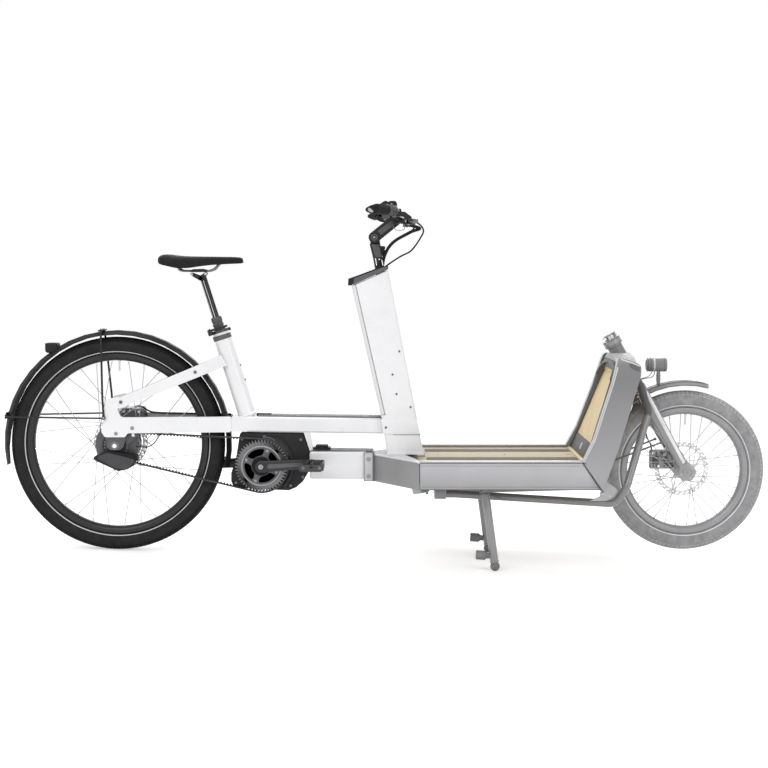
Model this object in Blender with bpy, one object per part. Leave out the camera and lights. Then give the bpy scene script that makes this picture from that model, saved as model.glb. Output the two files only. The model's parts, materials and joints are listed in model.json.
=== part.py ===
"""Front-loading electric cargo bicycle with a low wooden deck, a belt drive and a two-leg stand.

Metres. +X is forwards, +Z is up, and the rider's right is -Y. Everything is drawn with both tyres on
Z = 0 and X = 0 under the steering mast. The empty "bike" then tips the whole bicycle nose up about its
rear wheel, because the stand holds the front wheel off the ground.
"""

import math

import bmesh
import bpy
from mathutils import Matrix, Vector

for old in list(bpy.data.objects):
    bpy.data.objects.remove(old, do_unlink=True)

UP = Vector((0, 0, 1))
LEFT = Vector((0, 1, 0))
RIGHT_SIDE = -1
LEFT_SIDE = 1

# Clearances
GAP = 0.0003
RUNNING_GAP = 0.0005

# Wheels: 62-584 behind and 62-406 in front
REAR_TYRE_RADIUS = 0.354
REAR_TYRE_FRONT_X = -0.526
REAR_AXLE_X = REAR_TYRE_FRONT_X - REAR_TYRE_RADIUS
FRONT_TYRE_RADIUS = 0.265
FRONT_AXLE_X = 0.994
TYRE_HEIGHT = 0.056
REAR_RIM_RADIUS = REAR_TYRE_RADIUS - TYRE_HEIGHT
FRONT_RIM_RADIUS = FRONT_TYRE_RADIUS - TYRE_HEIGHT
REAR_GUARD_RADIUS = REAR_TYRE_RADIUS + 0.021
FRONT_GUARD_RADIUS = FRONT_TYRE_RADIUS + 0.031
REAR_GUARD_HALF = 0.034
TYRE_WIDTH = 0.060
TYRE_WALL = 0.005
RIM_WIDTH = 0.038
RIM_DEPTH = 0.023
RIM_WELL = 0.007
RIM_SHOULDER = 0.006
SPOKES = 32
WHEEL_STEPS = SPOKES
SPOKE_RADIUS = 0.0014
SPOKE_STAGGER = 0.0025
AXLE_RADIUS = 0.006
REAR_AXLE = Vector((REAR_AXLE_X, 0, REAR_TYRE_RADIUS))
FRONT_AXLE = Vector((FRONT_AXLE_X, 0, FRONT_TYRE_RADIUS))

# Rear hub and what sits beside it, measured outwards from the middle plane
REAR_SHELL_RADIUS = 0.072
HUB_RIGHT = 0.0400
HUB_LEFT = 0.0450
DROPOUT_INNER = 0.0673
DROPOUT_OUTER = 0.0740
STAY_PLATE_OUTER = 0.0880
ROTOR_RADIUS = 0.090
ROTOR_THICKNESS = 0.0020
ROTOR_ARMS = 5

# Belt drive
BELT_PITCH = 0.011
BELT_WIDTH = 0.0115
BELT_LINE = 0.0470
BELT_BACK = 0.0016
BELT_LAND = 0.0008
BELT_TOOTH_HEIGHT = 0.0030
BELT_TOOTH_ROOT = 0.0060
BELT_TOOTH_TIP = 0.0042
BELT_CLEARANCE = 0.0004
FRONT_TEETH = 50
REAR_TEETH = 24
SPROCKET_WIDTH = 0.0125
CRANK_AXIS = Vector((-0.403, 0, 0.285))
CRANK_LENGTH = 0.170
CRANK_TILT = math.radians(3.6)
CRANK_INNER = 0.0725
CRANK_OUTER = 0.0865
SPINDLE_RADIUS = 0.012
PEDAL_LENGTH = 0.080
PEDAL_WIDTH = 0.092
PEDAL_THICKNESS = 0.026

# Frame
BEAM_REAR_X = -0.500
BEAM_TOP = 0.447
BEAM_HEIGHT = 0.051
BEAM_DROP = 0.007
BEAM_HALF_WIDTH = 0.040
YOKE_HALF_WIDTH = 0.0555
YOKE_LENGTH = 0.050
STAY_THICKNESS = 0.015
SEAT_ANGLE = math.radians(17.4)
SEAT_TUBE_FOOT_X = -0.4525
SEAT_TUBE_TOP = 0.7150
SEAT_TUBE_RADIUS = 0.027
SEAT_POST_RADIUS = 0.0136
LOWER_BEAM_TOP = 0.331
LOWER_BEAM_BOTTOM = 0.240
LOWER_BEAM_REAR_X = -0.2448
LOWER_BEAM_FRONT_X = -0.056
LOWER_BEAM_HALF_WIDTH = 0.050
MAST_HALF_WIDTH = 0.055
MAST_WALL = 0.004
MAST_COVER_DEPTH = 0.015
COLUMN_RADIUS = 0.016
COLUMN_LEAN = math.radians(10.5)
COLUMN_TOP = Vector((-0.015, 0, 0.937))

# Cargo deck
DECK_TOP = 0.322
DECK_BOTTOM = 0.233
DECK_HALF_WIDTH = 0.2625
DECK_CORNER_X = -0.035
RAIL_THICKNESS = 0.040
FLOOR_TOP = 0.316
FLOOR_THICKNESS = 0.012
POST_THICKNESS = 0.034
POST_INWARD = 0.19
WALL_THICKNESS = 0.012
WALL_LEAN = 0.382

# Front end
HEAD_ANGLE = math.radians(29.5)
HEAD_AXIS = Vector((-math.sin(HEAD_ANGLE), 0, math.cos(HEAD_ANGLE)))
HEAD_TUBE_BOTTOM = FRONT_TYRE_RADIUS + 0.080
HEAD_TUBE_TOP = HEAD_TUBE_BOTTOM + 0.130
HEAD_TUBE_RADIUS = 0.0245
STEERER_RADIUS = 0.017
FORK_INNER = 0.046
FORK_LEG = 0.022
LEG_HALF_DEPTH = 0.0185
LOWER_TUBE_RADIUS = 0.0125

# Stand
STAND_PIVOT = Vector((0.325, 0, 0.2125))
STAND_HALF_WIDTH = 0.170
STAND_FOOT = Vector((0.3585, 0, -0.0265))
STAND_LEG_RADIUS = 0.0135
FOOT_RADIUS = 0.0155

# Handlebar
STEM_PIVOT = Vector((-0.032, 0, 1.034))
BAR_CENTRE = Vector((0.044, 0, 1.095))
BAR_RADIUS = 0.011
BAR_HALF_WIDTH = 0.330

BELT_Y = -BELT_LINE
PITCH_RADIUS_FRONT = FRONT_TEETH * BELT_PITCH / math.tau
PITCH_RADIUS_REAR = REAR_TEETH * BELT_PITCH / math.tau
SEAT_AXIS = Vector((-math.sin(SEAT_ANGLE), 0, math.cos(SEAT_ANGLE)))
COLUMN_AXIS = Vector((-math.sin(COLUMN_LEAN), 0, math.cos(COLUMN_LEAN)))


def nose_up_angle():
    """How far the bicycle tips back about the rear wheel until both stand feet touch the ground."""
    reach = STAND_FOOT.x - REAR_AXLE.x
    drop = STAND_FOOT.z - REAR_AXLE.z
    distance = math.hypot(reach, drop)
    return math.asin((FOOT_RADIUS - REAR_TYRE_RADIUS) / distance) - math.atan2(drop, reach)


NOSE_UP = nose_up_angle()

bike = bpy.data.objects.new("bike", None)
bpy.context.scene.collection.objects.link(bike)


# Materials

def material(name, colour, roughness, metallic=0.0):
    made = bpy.data.materials.new(name)
    made.use_nodes = True
    shader = made.node_tree.nodes["Principled BSDF"]
    shader.inputs["Base Color"].default_value = (*colour, 1)
    shader.inputs["Roughness"].default_value = roughness
    shader.inputs["Metallic"].default_value = metallic
    return made


WHITE_PAINT = ("white_paint", (0.84, 0.84, 0.86), 0.35, 0.0)
GREY_PAINT = ("grey_paint", (0.33, 0.33, 0.34), 0.45, 0.0)
SIDE_PAINT = ("side_paint", (0.52, 0.52, 0.53), 0.40, 0.2)
BLACK_PLASTIC = ("black_plastic", (0.035, 0.035, 0.037), 0.55, 0.0)
DARK_METAL = ("dark_metal", (0.06, 0.06, 0.065), 0.40, 0.6)
BARE_METAL = ("bare_metal", (0.62, 0.62, 0.63), 0.30, 1.0)
GREY_METAL = ("grey_metal", (0.24, 0.24, 0.25), 0.40, 0.5)
TYRE_RUBBER = ("tyre_rubber", (0.03, 0.03, 0.03), 0.85, 0.0)
FADED_RUBBER = ("faded_rubber", (0.35, 0.35, 0.35), 0.85, 0.0)
GRIP_RUBBER = ("grip_rubber", (0.02, 0.02, 0.02), 0.80, 0.0)
WOOD = ("wood", (0.60, 0.52, 0.34), 0.55, 0.0)
LIGHT_COVER = ("light_cover", (0.75, 0.75, 0.78), 0.40, 0.0)


# Shapes

def joint_at(name, point):
    """An empty on a joint's axis, which carries the pieces that move there."""
    empty = bpy.data.objects.new(name, None)
    bpy.context.scene.collection.objects.link(empty)
    empty.parent = bike
    empty.location = point
    return empty


def place(name, shape, carrier, look=None):
    """One object from a shape drawn in the bicycle's own frame. A shape with no look only cuts or joins."""
    bmesh.ops.translate(shape, vec=-carrier.location, verts=shape.verts)
    mesh = bpy.data.meshes.new(name)
    shape.to_mesh(mesh)
    shape.free()
    mesh.shade_smooth()
    mesh.set_sharp_from_angle(angle=math.radians(35))
    made = bpy.data.objects.new(name, mesh)
    bpy.context.scene.collection.objects.link(made)
    made.parent = carrier
    if look:
        mesh.materials.append(material(f"{name}_{look[0]}", *look[1:]))
    else:
        made.hide_render = True
        made.display_type = "WIRE"
    return made


def piece(name, look, carrier, shapes, cuts=(), pins=()):
    """One node: the first shape, the others joined to it, the cuts taken out, and pins set across them."""
    made = place(name, shapes[0], carrier, look)
    steps = [("UNION", shape) for shape in shapes[1:]]
    steps += [("DIFFERENCE", cut) for cut in cuts]
    steps += [("UNION", pin) for pin in pins]
    for number, (operation, shape) in enumerate(steps):
        modifier = made.modifiers.new(f"{operation.lower()}_{number}", "BOOLEAN")
        modifier.operation = operation
        modifier.object = place(f"{name}_helper_{number}", shape, carrier)
    return made


def rounded(points, radius, steps=3, closed=True):
    """The same outline or route with each corner turned into an arc that fits between its neighbours."""
    corners = [Vector(point) for point in points]
    result = []
    for number, corner in enumerate(corners):
        if not closed and number in (0, len(corners) - 1):
            result.append(corner)
            continue
        to_last = corners[number - 1] - corner
        to_next = corners[(number + 1) % len(corners)] - corner
        half = to_last.angle(to_next) / 2
        reach = min(radius / math.tan(half), 0.45 * to_last.length, 0.45 * to_next.length)
        bisector = (to_last.normalized() + to_next.normalized()).normalized()
        centre = corner + bisector * reach / math.cos(half)
        start = corner + to_last.normalized() * reach - centre
        end = corner + to_next.normalized() * reach - centre
        turn = start.angle(end)
        side = (end - start * math.cos(turn)) / math.sin(turn)
        for step in range(steps + 1):
            angle = turn * step / steps
            result.append(centre + start * math.cos(angle) + side * math.sin(angle))
    return result


def smooth_route(points, spacing):
    """A smooth curve through the points, read off about every spacing."""
    knots = [Vector(point) for point in points]
    knots = [2 * knots[0] - knots[1], *knots, 2 * knots[-1] - knots[-2]]
    result = [knots[1]]
    for number in range(1, len(knots) - 2):
        before, start, end, after = knots[number - 1 : number + 3]
        steps = max(1, round((end - start).length / spacing))
        for step in range(1, steps + 1):
            t = step / steps
            result.append(
                (
                    2 * start
                    + (end - before) * t
                    + (2 * before - 5 * start + 4 * end - after) * t**2
                    + (3 * start - before - 3 * end + after) * t**3
                )
                / 2
            )
    return result


def closed_up(shape):
    bmesh.ops.remove_doubles(shape, verts=shape.verts, dist=1e-6)
    bmesh.ops.recalc_face_normals(shape, faces=shape.faces)
    return shape


def prism(outline, start, end, plane="XZ"):
    """A flat outline carried along the normal of its plane."""
    shape = bmesh.new()
    corners = []
    for a, b in outline:
        spot = {"XZ": (a, start, b), "XY": (a, b, start), "YZ": (start, a, b)}[plane]
        corners.append(shape.verts.new(spot))
    face = shape.faces.new(corners)
    grown = bmesh.ops.extrude_face_region(shape, geom=[face])
    new_verts = [item for item in grown["geom"] if isinstance(item, bmesh.types.BMVert)]
    along = {"XZ": LEFT, "XY": UP, "YZ": Vector((1, 0, 0))}[plane]
    bmesh.ops.translate(shape, vec=along * (end - start), verts=new_verts)
    return closed_up(shape)


def block(low, high):
    outline = [(low[0], low[2]), (high[0], low[2]), (high[0], high[2]), (low[0], high[2])]
    return prism(outline, low[1], high[1])


def softened(shape, width, segments=1, longer_than=0.0):
    """Bevels the edges that turn by more than 30 degrees and are longer than given."""
    sharp = [edge for edge in shape.edges if edge.calc_face_angle(0) > math.radians(30)]
    edges = [edge for edge in sharp if edge.calc_length() > longer_than]
    bmesh.ops.bevel(
        shape, geom=edges, offset=width, segments=segments, profile=0.5, affect="EDGES",
        material=-1, clamp_overlap=True,
    )
    return shape


def turned(profile, steps, base, direction=LEFT, phase=0.0):
    """A profile of (radius, height) turned about a line. It makes a ring if it never meets the line."""
    shape = bmesh.new()
    verts = [shape.verts.new((radius, 0, height)) for radius, height in profile]
    edges = [shape.edges.new(pair) for pair in zip(verts, verts[1:])]
    if profile[0][0] > 0:
        edges.append(shape.edges.new((verts[-1], verts[0])))
    bmesh.ops.rotate(shape, cent=(0, 0, 0), matrix=Matrix.Rotation(phase, 3, "Z"), verts=verts)
    bmesh.ops.spin(
        shape, geom=verts + edges, cent=(0, 0, 0), axis=UP, angle=math.tau, steps=steps, use_merge=True
    )
    if direction == LEFT:
        turn = Matrix.Rotation(-math.pi / 2, 4, "X")
    else:
        turn = direction.to_track_quat("Z", "Y").to_matrix().to_4x4()
    bmesh.ops.transform(shape, matrix=Matrix.Translation(base) @ turn, verts=shape.verts)
    return closed_up(shape)


def rod(start, end, radius, sides=12):
    start = Vector(start)
    along = Vector(end) - start
    length = along.length
    return turned([(0, 0), (radius, 0), (radius, length), (0, length)], sides, start, along.normalized())


def pipe(route, radius, resolution=2):
    """A round tube along a route, as a closed shape."""
    curve = bpy.data.curves.new("route", "CURVE")
    curve.dimensions = "3D"
    curve.bevel_depth = radius
    curve.bevel_resolution = resolution
    curve.use_fill_caps = True
    spline = curve.splines.new("POLY")
    spline.points.add(len(route) - 1)
    for point, spot in zip(spline.points, route):
        point.co = (*spot, 1)
    holder = bpy.data.objects.new("route", curve)
    mesh = bpy.data.meshes.new_from_object(holder)
    shape = bmesh.new()
    shape.from_mesh(mesh)
    bpy.data.objects.remove(holder)
    bpy.data.curves.remove(curve)
    bpy.data.meshes.remove(mesh)
    return closed_up(shape)


def cord(name, look, carrier, route, radius):
    """A hose or cable, kept as a curve with a round bevel."""
    curve = bpy.data.curves.new(name, "CURVE")
    curve.dimensions = "3D"
    curve.bevel_depth = radius
    curve.bevel_resolution = 2
    curve.use_fill_caps = True
    spline = curve.splines.new("POLY")
    spline.points.add(len(route) - 1)
    for point, spot in zip(spline.points, route):
        point.co = (*(Vector(spot) - carrier.location), 1)
    curve.materials.append(material(f"{name}_{look[0]}", *look[1:]))
    made = bpy.data.objects.new(name, curve)
    bpy.context.scene.collection.objects.link(made)
    made.parent = carrier
    return made


def capsule(start, end, start_radius, end_radius, steps):
    """The side view of an arm with a round at each end."""
    along = (end - start).normalized()
    across = Vector((-along.z, 0, along.x))
    outline = []
    for spot, radius, way in ((start, start_radius, -1), (end, end_radius, 1)):
        for step in range(steps + 1):
            angle = math.pi * (0.5 - step / steps) * way
            edge = spot + (along * way * math.cos(angle) - across * math.sin(angle)) * radius
            outline.append((edge.x, edge.z))
    return outline


def mirrored(shape):
    """The same shape on the other side of the bicycle."""
    bmesh.ops.scale(shape, vec=(1, -1, 1), verts=shape.verts)
    bmesh.ops.recalc_face_normals(shape, faces=shape.faces)
    return shape


def on_side(shape, side):
    """Shapes are drawn on the rider's left, +Y."""
    return shape if side == LEFT_SIDE else mirrored(shape)


def side_name(side):
    return "left" if side == LEFT_SIDE else "right"


def bent(shape, bend):
    """Moves each point sideways by what bend gives for it."""
    for vert in shape.verts:
        vert.co.y += bend(vert.co)
    return shape


def cut_across(shape, stations, along=Vector((1, 0, 0))):
    """Adds edges across the shape at the given distances along an axis, where it may bend."""
    for station in stations:
        bmesh.ops.bisect_plane(
            shape, geom=shape.verts[:] + shape.edges[:] + shape.faces[:], dist=1e-7,
            plane_co=along * station, plane_no=along,
        )
    return shape


def between(value, stations):
    """The height at value of the straight lines through the (position, height) stations."""
    if value <= stations[0][0]:
        return stations[0][1]
    for (start, low), (end, high) in zip(stations, stations[1:]):
        if value <= end:
            return low + (high - low) * (value - start) / (end - start)
    return stations[-1][1]


# Wheels

def turning_bore(radius, sides):
    """The radius of a bore of so many sides that the corners of a turning shaft clear."""
    return (radius + GAP) / math.cos(math.pi / sides)


def around(axle, radius, angle, y=0.0):
    """A point beside a wheel: its angle runs from straight ahead up and over."""
    return axle + Vector((radius * math.cos(angle), y, radius * math.sin(angle)))


def tyre(axle, radius, rim_radius):
    """A casing open towards the rim, with its beads in the rim's well: the outer arc, then the inner."""
    half = TYRE_WIDTH / 2
    crown = radius - half
    foot = rim_radius + GAP
    outer_end = math.acos((foot - crown) / half)
    inner = half - TYRE_WALL
    inner_end = math.acos(max(-0.95, (foot - crown) / inner))
    outer_steps = 6
    inner_steps = 2
    profile = []
    bead = RIM_WIDTH / 2 - RIM_SHOULDER - 0.001
    profile.append((rim_radius - RIM_WELL + GAP, bead))
    for step in range(1, outer_steps):
        angle = outer_end * (1 - 2 * step / outer_steps)
        profile.append((crown + half * math.cos(angle), half * math.sin(angle)))
    profile.append((rim_radius - RIM_WELL + GAP, -bead))
    for step in range(inner_steps + 1):
        angle = inner_end * (2 * step / inner_steps - 1)
        profile.append((crown + inner * math.cos(angle), inner * math.sin(angle)))
    return turned(profile, WHEEL_STEPS, axle, phase=NOSE_UP)


def rim(axle, radius):
    """A box rim with a flange at each side and a well between them."""
    half = RIM_WIDTH / 2
    profile = [
        (radius, half),
        (radius - RIM_WELL, half - RIM_SHOULDER),
        (radius - RIM_WELL, RIM_SHOULDER - half),
        (radius, -half),
        (radius - RIM_DEPTH, -half / 2),
        (radius - RIM_DEPTH, half / 2),
    ]
    return turned(profile, WHEEL_STEPS, axle, phase=NOSE_UP)


def spoke(axle, rim_radius, flange_radius, flange_y, number):
    """A spoke leaves its flange almost along it, by turns forwards from outside and backwards from inside."""
    way = 1 if number % 4 < 2 else -1
    lean = math.radians(55) * way
    rim_angle = math.tau * (number + 0.5) / SPOKES - NOSE_UP
    hub_angle = rim_angle + lean
    side = 1 if number % 2 else -1
    start_radius = flange_radius - 0.003
    start_y = side * (flange_y + way * SPOKE_STAGGER)
    end_y = side * (0.004 + way * SPOKE_STAGGER * 0.6)
    end_radius = (rim_radius - RIM_DEPTH) * math.cos(math.pi / WHEEL_STEPS) - SPOKE_RADIUS * 0.3 - GAP
    start = around(axle, start_radius, hub_angle, start_y)
    end = around(axle, end_radius, rim_angle, end_y)
    return rod(start, end, SPOKE_RADIUS, 3)


def joined(shapes):
    """Several shapes in one, still crossing each other."""
    whole = bmesh.new()
    for shape in shapes:
        mesh = bpy.data.meshes.new("part_of_whole")
        shape.to_mesh(mesh)
        shape.free()
        whole.from_mesh(mesh)
        bpy.data.meshes.remove(mesh)
    return whole


def spokes(axle, rim_radius, flange_radius, flange_y):
    """Four groups, by flange and by lean, so that no two spokes of a group cross."""
    groups = [[], [], [], []]
    for number in range(SPOKES):
        groups[number % 4].append(spoke(axle, rim_radius, flange_radius, flange_y, number))
    return [joined(group) for group in groups]


def rotor_shape(axle, start, radius=ROTOR_RADIUS):
    """A brake disc: its track, a middle ring and the arms between them, swept backwards."""
    inner_track = radius - 0.016
    middle = 0.024
    ring = turned(
        [(inner_track, 0), (radius, 0), (radius, ROTOR_THICKNESS), (inner_track, ROTOR_THICKNESS)],
        20, axle + LEFT * start,
    )
    hole = AXLE_RADIUS + GAP
    carrier = turned(
        [(hole, 0), (middle, 0), (middle, ROTOR_THICKNESS), (hole, ROTOR_THICKNESS)],
        12, axle + LEFT * start,
    )
    arms = []
    for number in range(ROTOR_ARMS):
        angle = math.tau * number / ROTOR_ARMS
        foot = Vector((math.cos(angle), math.sin(angle))) * (middle - 0.003)
        tip = Vector((math.cos(angle + 0.6), math.sin(angle + 0.6))) * (inner_track + 0.004)
        across = (tip - foot).orthogonal().normalized() * 0.0035
        outline = [foot - across, tip - across, tip + across, foot + across]
        outline = [(axle.x + spot.x, axle.z + spot.y) for spot in outline]
        thin = ROTOR_THICKNESS / 4
        arms.append(prism(outline, start + thin, start + ROTOR_THICKNESS - thin))
    return [ring, carrier, *arms]


rear_wheel = joint_at("rear_wheel_axis", REAR_AXLE)
bore = AXLE_RADIUS + GAP
piece("rear_tyre", TYRE_RUBBER, rear_wheel, [tyre(REAR_AXLE, REAR_TYRE_RADIUS, REAR_RIM_RADIUS)])
piece("rear_rim", DARK_METAL, rear_wheel, [rim(REAR_AXLE, REAR_RIM_RADIUS)])
rear_shell = turned(
    [
        (bore, -HUB_RIGHT),
        (0.034, -HUB_RIGHT),
        (0.062, -0.038),
        (REAR_SHELL_RADIUS, -0.030),
        (REAR_SHELL_RADIUS, 0.030),
        (0.062, 0.038),
        (0.028, HUB_LEFT),
        (bore, HUB_LEFT),
    ],
    16, REAR_AXLE,
)
piece(
    "rear_hub", DARK_METAL, rear_wheel,
    [rear_shell, *spokes(REAR_AXLE, REAR_RIM_RADIUS, REAR_SHELL_RADIUS, 0.028)],
)
piece("rear_rotor", BARE_METAL, rear_wheel, rotor_shape(REAR_AXLE, HUB_LEFT + GAP))

front_wheel = joint_at("front_wheel_axis", FRONT_AXLE)
piece("front_tyre", FADED_RUBBER, front_wheel, [tyre(FRONT_AXLE, FRONT_TYRE_RADIUS, FRONT_RIM_RADIUS)])
piece("front_rim", GREY_METAL, front_wheel, [rim(FRONT_AXLE, FRONT_RIM_RADIUS)])
FRONT_HUB_HALF = FORK_INNER - GAP
FRONT_FLANGE_Y = 0.0235
FRONT_ROTOR_Y = 0.0345
front_shell = turned(
    [
        (bore, -FRONT_HUB_HALF),
        (0.014, -FRONT_HUB_HALF),
        (0.030, -FRONT_FLANGE_Y - 0.005),
        (0.030, -FRONT_FLANGE_Y + 0.005),
        (0.016, -0.016),
        (0.016, 0.016),
        (0.030, FRONT_FLANGE_Y - 0.005),
        (0.030, FRONT_FLANGE_Y + 0.005),
        (0.020, FRONT_ROTOR_Y + ROTOR_THICKNESS),
        (0.014, FRONT_HUB_HALF),
        (bore, FRONT_HUB_HALF),
    ],
    12, FRONT_AXLE,
)
piece(
    "front_hub", GREY_METAL, front_wheel,
    [
        front_shell,
        *spokes(FRONT_AXLE, FRONT_RIM_RADIUS, 0.030, FRONT_FLANGE_Y),
        *rotor_shape(FRONT_AXLE, FRONT_ROTOR_Y),
    ],
)


# Belt drive: both sprockets and the belt share one set of angles, so that every tooth sits in its groove

def arc_angles(teeth, wrap):
    """The angles of the belt's teeth on one sprocket, even about the middle of its wrap."""
    step = math.tau / teeth
    count = math.floor(wrap / 2 / step)
    return [number * step for number in range(-count, count + 1)]


def belt_stations():
    """(spot, tangent) of each tooth's middle on the pitch line, seen in XZ, once round the loop."""
    rear = Vector((REAR_AXLE.x, REAR_AXLE.z))
    front = Vector((CRANK_AXIS.x, CRANK_AXIS.z))
    line = front - rear
    heading = math.atan2(line.y, line.x)
    spread = math.asin((PITCH_RADIUS_FRONT - PITCH_RADIUS_REAR) / line.length)
    stations = []
    ends = []
    for centre, radius, teeth, middle, wrap in (
        (front, PITCH_RADIUS_FRONT, FRONT_TEETH, heading, math.pi + 2 * spread),
        (rear, PITCH_RADIUS_REAR, REAR_TEETH, heading + math.pi, math.pi - 2 * spread),
    ):
        angles = [middle + angle for angle in arc_angles(teeth, wrap)]
        arc = []
        for angle in angles:
            out = Vector((math.cos(angle), math.sin(angle)))
            arc.append((centre + out * radius, Vector((-out.y, out.x))))
        tangent_points = []
        for angle in (middle - wrap / 2, middle + wrap / 2):
            tangent_points.append(centre + Vector((math.cos(angle), math.sin(angle))) * radius)
        ends.append((arc, tangent_points, radius * (wrap / 2 - (angles[-1] - middle))))
    for number, (arc, tangent_points, spare) in enumerate(ends):
        stations.extend(arc)
        next_points, next_spare = ends[1 - number][1:]
        leave = tangent_points[1]
        run = next_points[0] - leave
        whole = spare + run.length + next_spare
        count = round(whole / BELT_PITCH)
        for step in range(1, count):
            along = whole * step / count - spare
            stations.append((leave + run.normalized() * along, run.normalized()))
    return stations


def belt_shape():
    """One toothed loop: a back, lands, and a tooth at each station."""
    stations = belt_stations()
    shape = bmesh.new()
    start_y = BELT_Y - BELT_WIDTH / 2
    rows = []
    for spot, tangent in stations:
        outward = Vector((tangent.y, -tangent.x))
        root = tangent * BELT_TOOTH_ROOT / 2
        tip = tangent * BELT_TOOTH_TIP / 2
        land = spot - outward * BELT_LAND
        end = land - outward * BELT_TOOTH_HEIGHT
        row = [spot + outward * BELT_BACK, land - root, end - tip, end + tip, land + root]
        rows.append([shape.verts.new((point.x, start_y, point.y)) for point in row])
    faces = []
    for row, following in zip(rows, rows[1:] + rows[:1]):
        faces.append(shape.faces.new([row[0], *row[1:], following[1], following[0]]))
    grown = bmesh.ops.extrude_face_region(shape, geom=faces)
    new_verts = [item for item in grown["geom"] if isinstance(item, bmesh.types.BMVert)]
    bmesh.ops.translate(shape, vec=LEFT * BELT_WIDTH, verts=new_verts)
    return closed_up(shape)


def sprocket_ring(axis, teeth, pitch_radius, inner_radius, middle_angle):
    """A ring with a groove for each belt tooth."""
    tip = pitch_radius - BELT_LAND - BELT_CLEARANCE
    bottom = pitch_radius - BELT_LAND - BELT_TOOTH_HEIGHT - BELT_CLEARANCE
    top_half = (BELT_TOOTH_ROOT / 2 + BELT_CLEARANCE) / tip
    bottom_half = (BELT_TOOTH_TIP / 2 + BELT_CLEARANCE) / bottom
    shape = bmesh.new()
    start_y = BELT_Y - SPROCKET_WIDTH / 2
    rows = []
    for number in range(teeth):
        middle = middle_angle + math.tau * number / teeth
        spots = [
            (inner_radius, -top_half),
            (tip, -top_half),
            (bottom, -bottom_half),
            (bottom, bottom_half),
            (tip, top_half),
        ]
        row = []
        for radius, offset in spots:
            edge = around(axis, radius, middle + offset, start_y)
            row.append(shape.verts.new(edge))
        rows.append(row)
    faces = []
    for row, following in zip(rows, rows[1:] + rows[:1]):
        faces.append(shape.faces.new([*row, following[1], following[0]]))
    grown = bmesh.ops.extrude_face_region(shape, geom=faces)
    new_verts = [item for item in grown["geom"] if isinstance(item, bmesh.types.BMVert)]
    bmesh.ops.translate(shape, vec=LEFT * SPROCKET_WIDTH, verts=new_verts)
    return closed_up(shape)


BELT_HEADING = math.atan2(CRANK_AXIS.z - REAR_AXLE.z, CRANK_AXIS.x - REAR_AXLE.x)
piece("drive_belt", GRIP_RUBBER, bike, [belt_shape()])

rear_drive = joint_at("rear_sprocket_axis", REAR_AXLE)
rear_ring = sprocket_ring(
    REAR_AXLE, REAR_TEETH, PITCH_RADIUS_REAR, AXLE_RADIUS + RUNNING_GAP, BELT_HEADING + math.pi
)
piece("rear_sprocket", GREY_METAL, rear_drive, [rear_ring])

crankset = joint_at("crankset_axis", CRANK_AXIS)
SPROCKET_OUTER_Y = BELT_Y - SPROCKET_WIDTH / 2
RING_INNER_RADIUS = 0.066
SPIDER_THICKNESS = 0.006
SPIDER_ARMS = 5
ring_shape = sprocket_ring(CRANK_AXIS, FRONT_TEETH, PITCH_RADIUS_FRONT, RING_INNER_RADIUS, BELT_HEADING)
tabs = []
for number in range(SPIDER_ARMS):
    angle = math.tau * (number + 0.5) / SPIDER_ARMS
    spot = CRANK_AXIS + Vector((math.cos(angle), 0, math.sin(angle))) * (RING_INNER_RADIUS - 0.003)
    tabs.append(
        rod(
            spot + LEFT * (SPROCKET_OUTER_Y + 0.002),
            spot + LEFT * (SPROCKET_OUTER_Y + SPROCKET_WIDTH - 0.002), 0.009, 6,
        )
    )
piece("front_sprocket", DARK_METAL, crankset, [ring_shape, *tabs])

crank_reach = Vector((math.cos(CRANK_TILT), 0, math.sin(CRANK_TILT))) * CRANK_LENGTH
PEDAL_AXLE_RADIUS = 0.006
PEDAL_START = CRANK_OUTER + 0.006
PEDAL_END = PEDAL_START + PEDAL_WIDTH


def crank_arm(side):
    """A tapered arm from the spindle to the pedal axle, drawn on the rider's left."""
    reach = crank_reach if side == RIGHT_SIDE else -crank_reach
    outline = capsule(CRANK_AXIS, CRANK_AXIS + reach, 0.019, 0.014, 3)
    return softened(prism(outline, CRANK_INNER, CRANK_OUTER), 0.003)


def pedal_axle(side):
    reach = crank_reach if side == RIGHT_SIDE else -crank_reach
    end = CRANK_AXIS + reach
    return rod(end + LEFT * (CRANK_OUTER - 0.004), end + LEFT * PEDAL_END, PEDAL_AXLE_RADIUS, 8)


def spider():
    """Five flat arms from the boss to the ring's tabs."""
    shapes = [
        rod(
            CRANK_AXIS + LEFT * (-SPROCKET_OUTER_Y + GAP), CRANK_AXIS + LEFT * (CRANK_INNER + 0.004),
            0.021, 14,
        )
    ]
    for number in range(SPIDER_ARMS):
        angle = math.tau * (number + 0.5) / SPIDER_ARMS
        out = Vector((math.cos(angle), 0, math.sin(angle)))
        across = Vector((-out.z, 0, out.x))
        outline = []
        for distance, half in ((0.012, -0.012), (RING_INNER_RADIUS + 0.006, -0.006),
                               (RING_INNER_RADIUS + 0.006, 0.006), (0.012, 0.012)):
            edge = CRANK_AXIS + out * distance + across * half
            outline.append((edge.x, edge.z))
        start = -SPROCKET_OUTER_Y + GAP
        shapes.append(prism(outline, start, start + SPIDER_THICKNESS))
    return shapes


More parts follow.
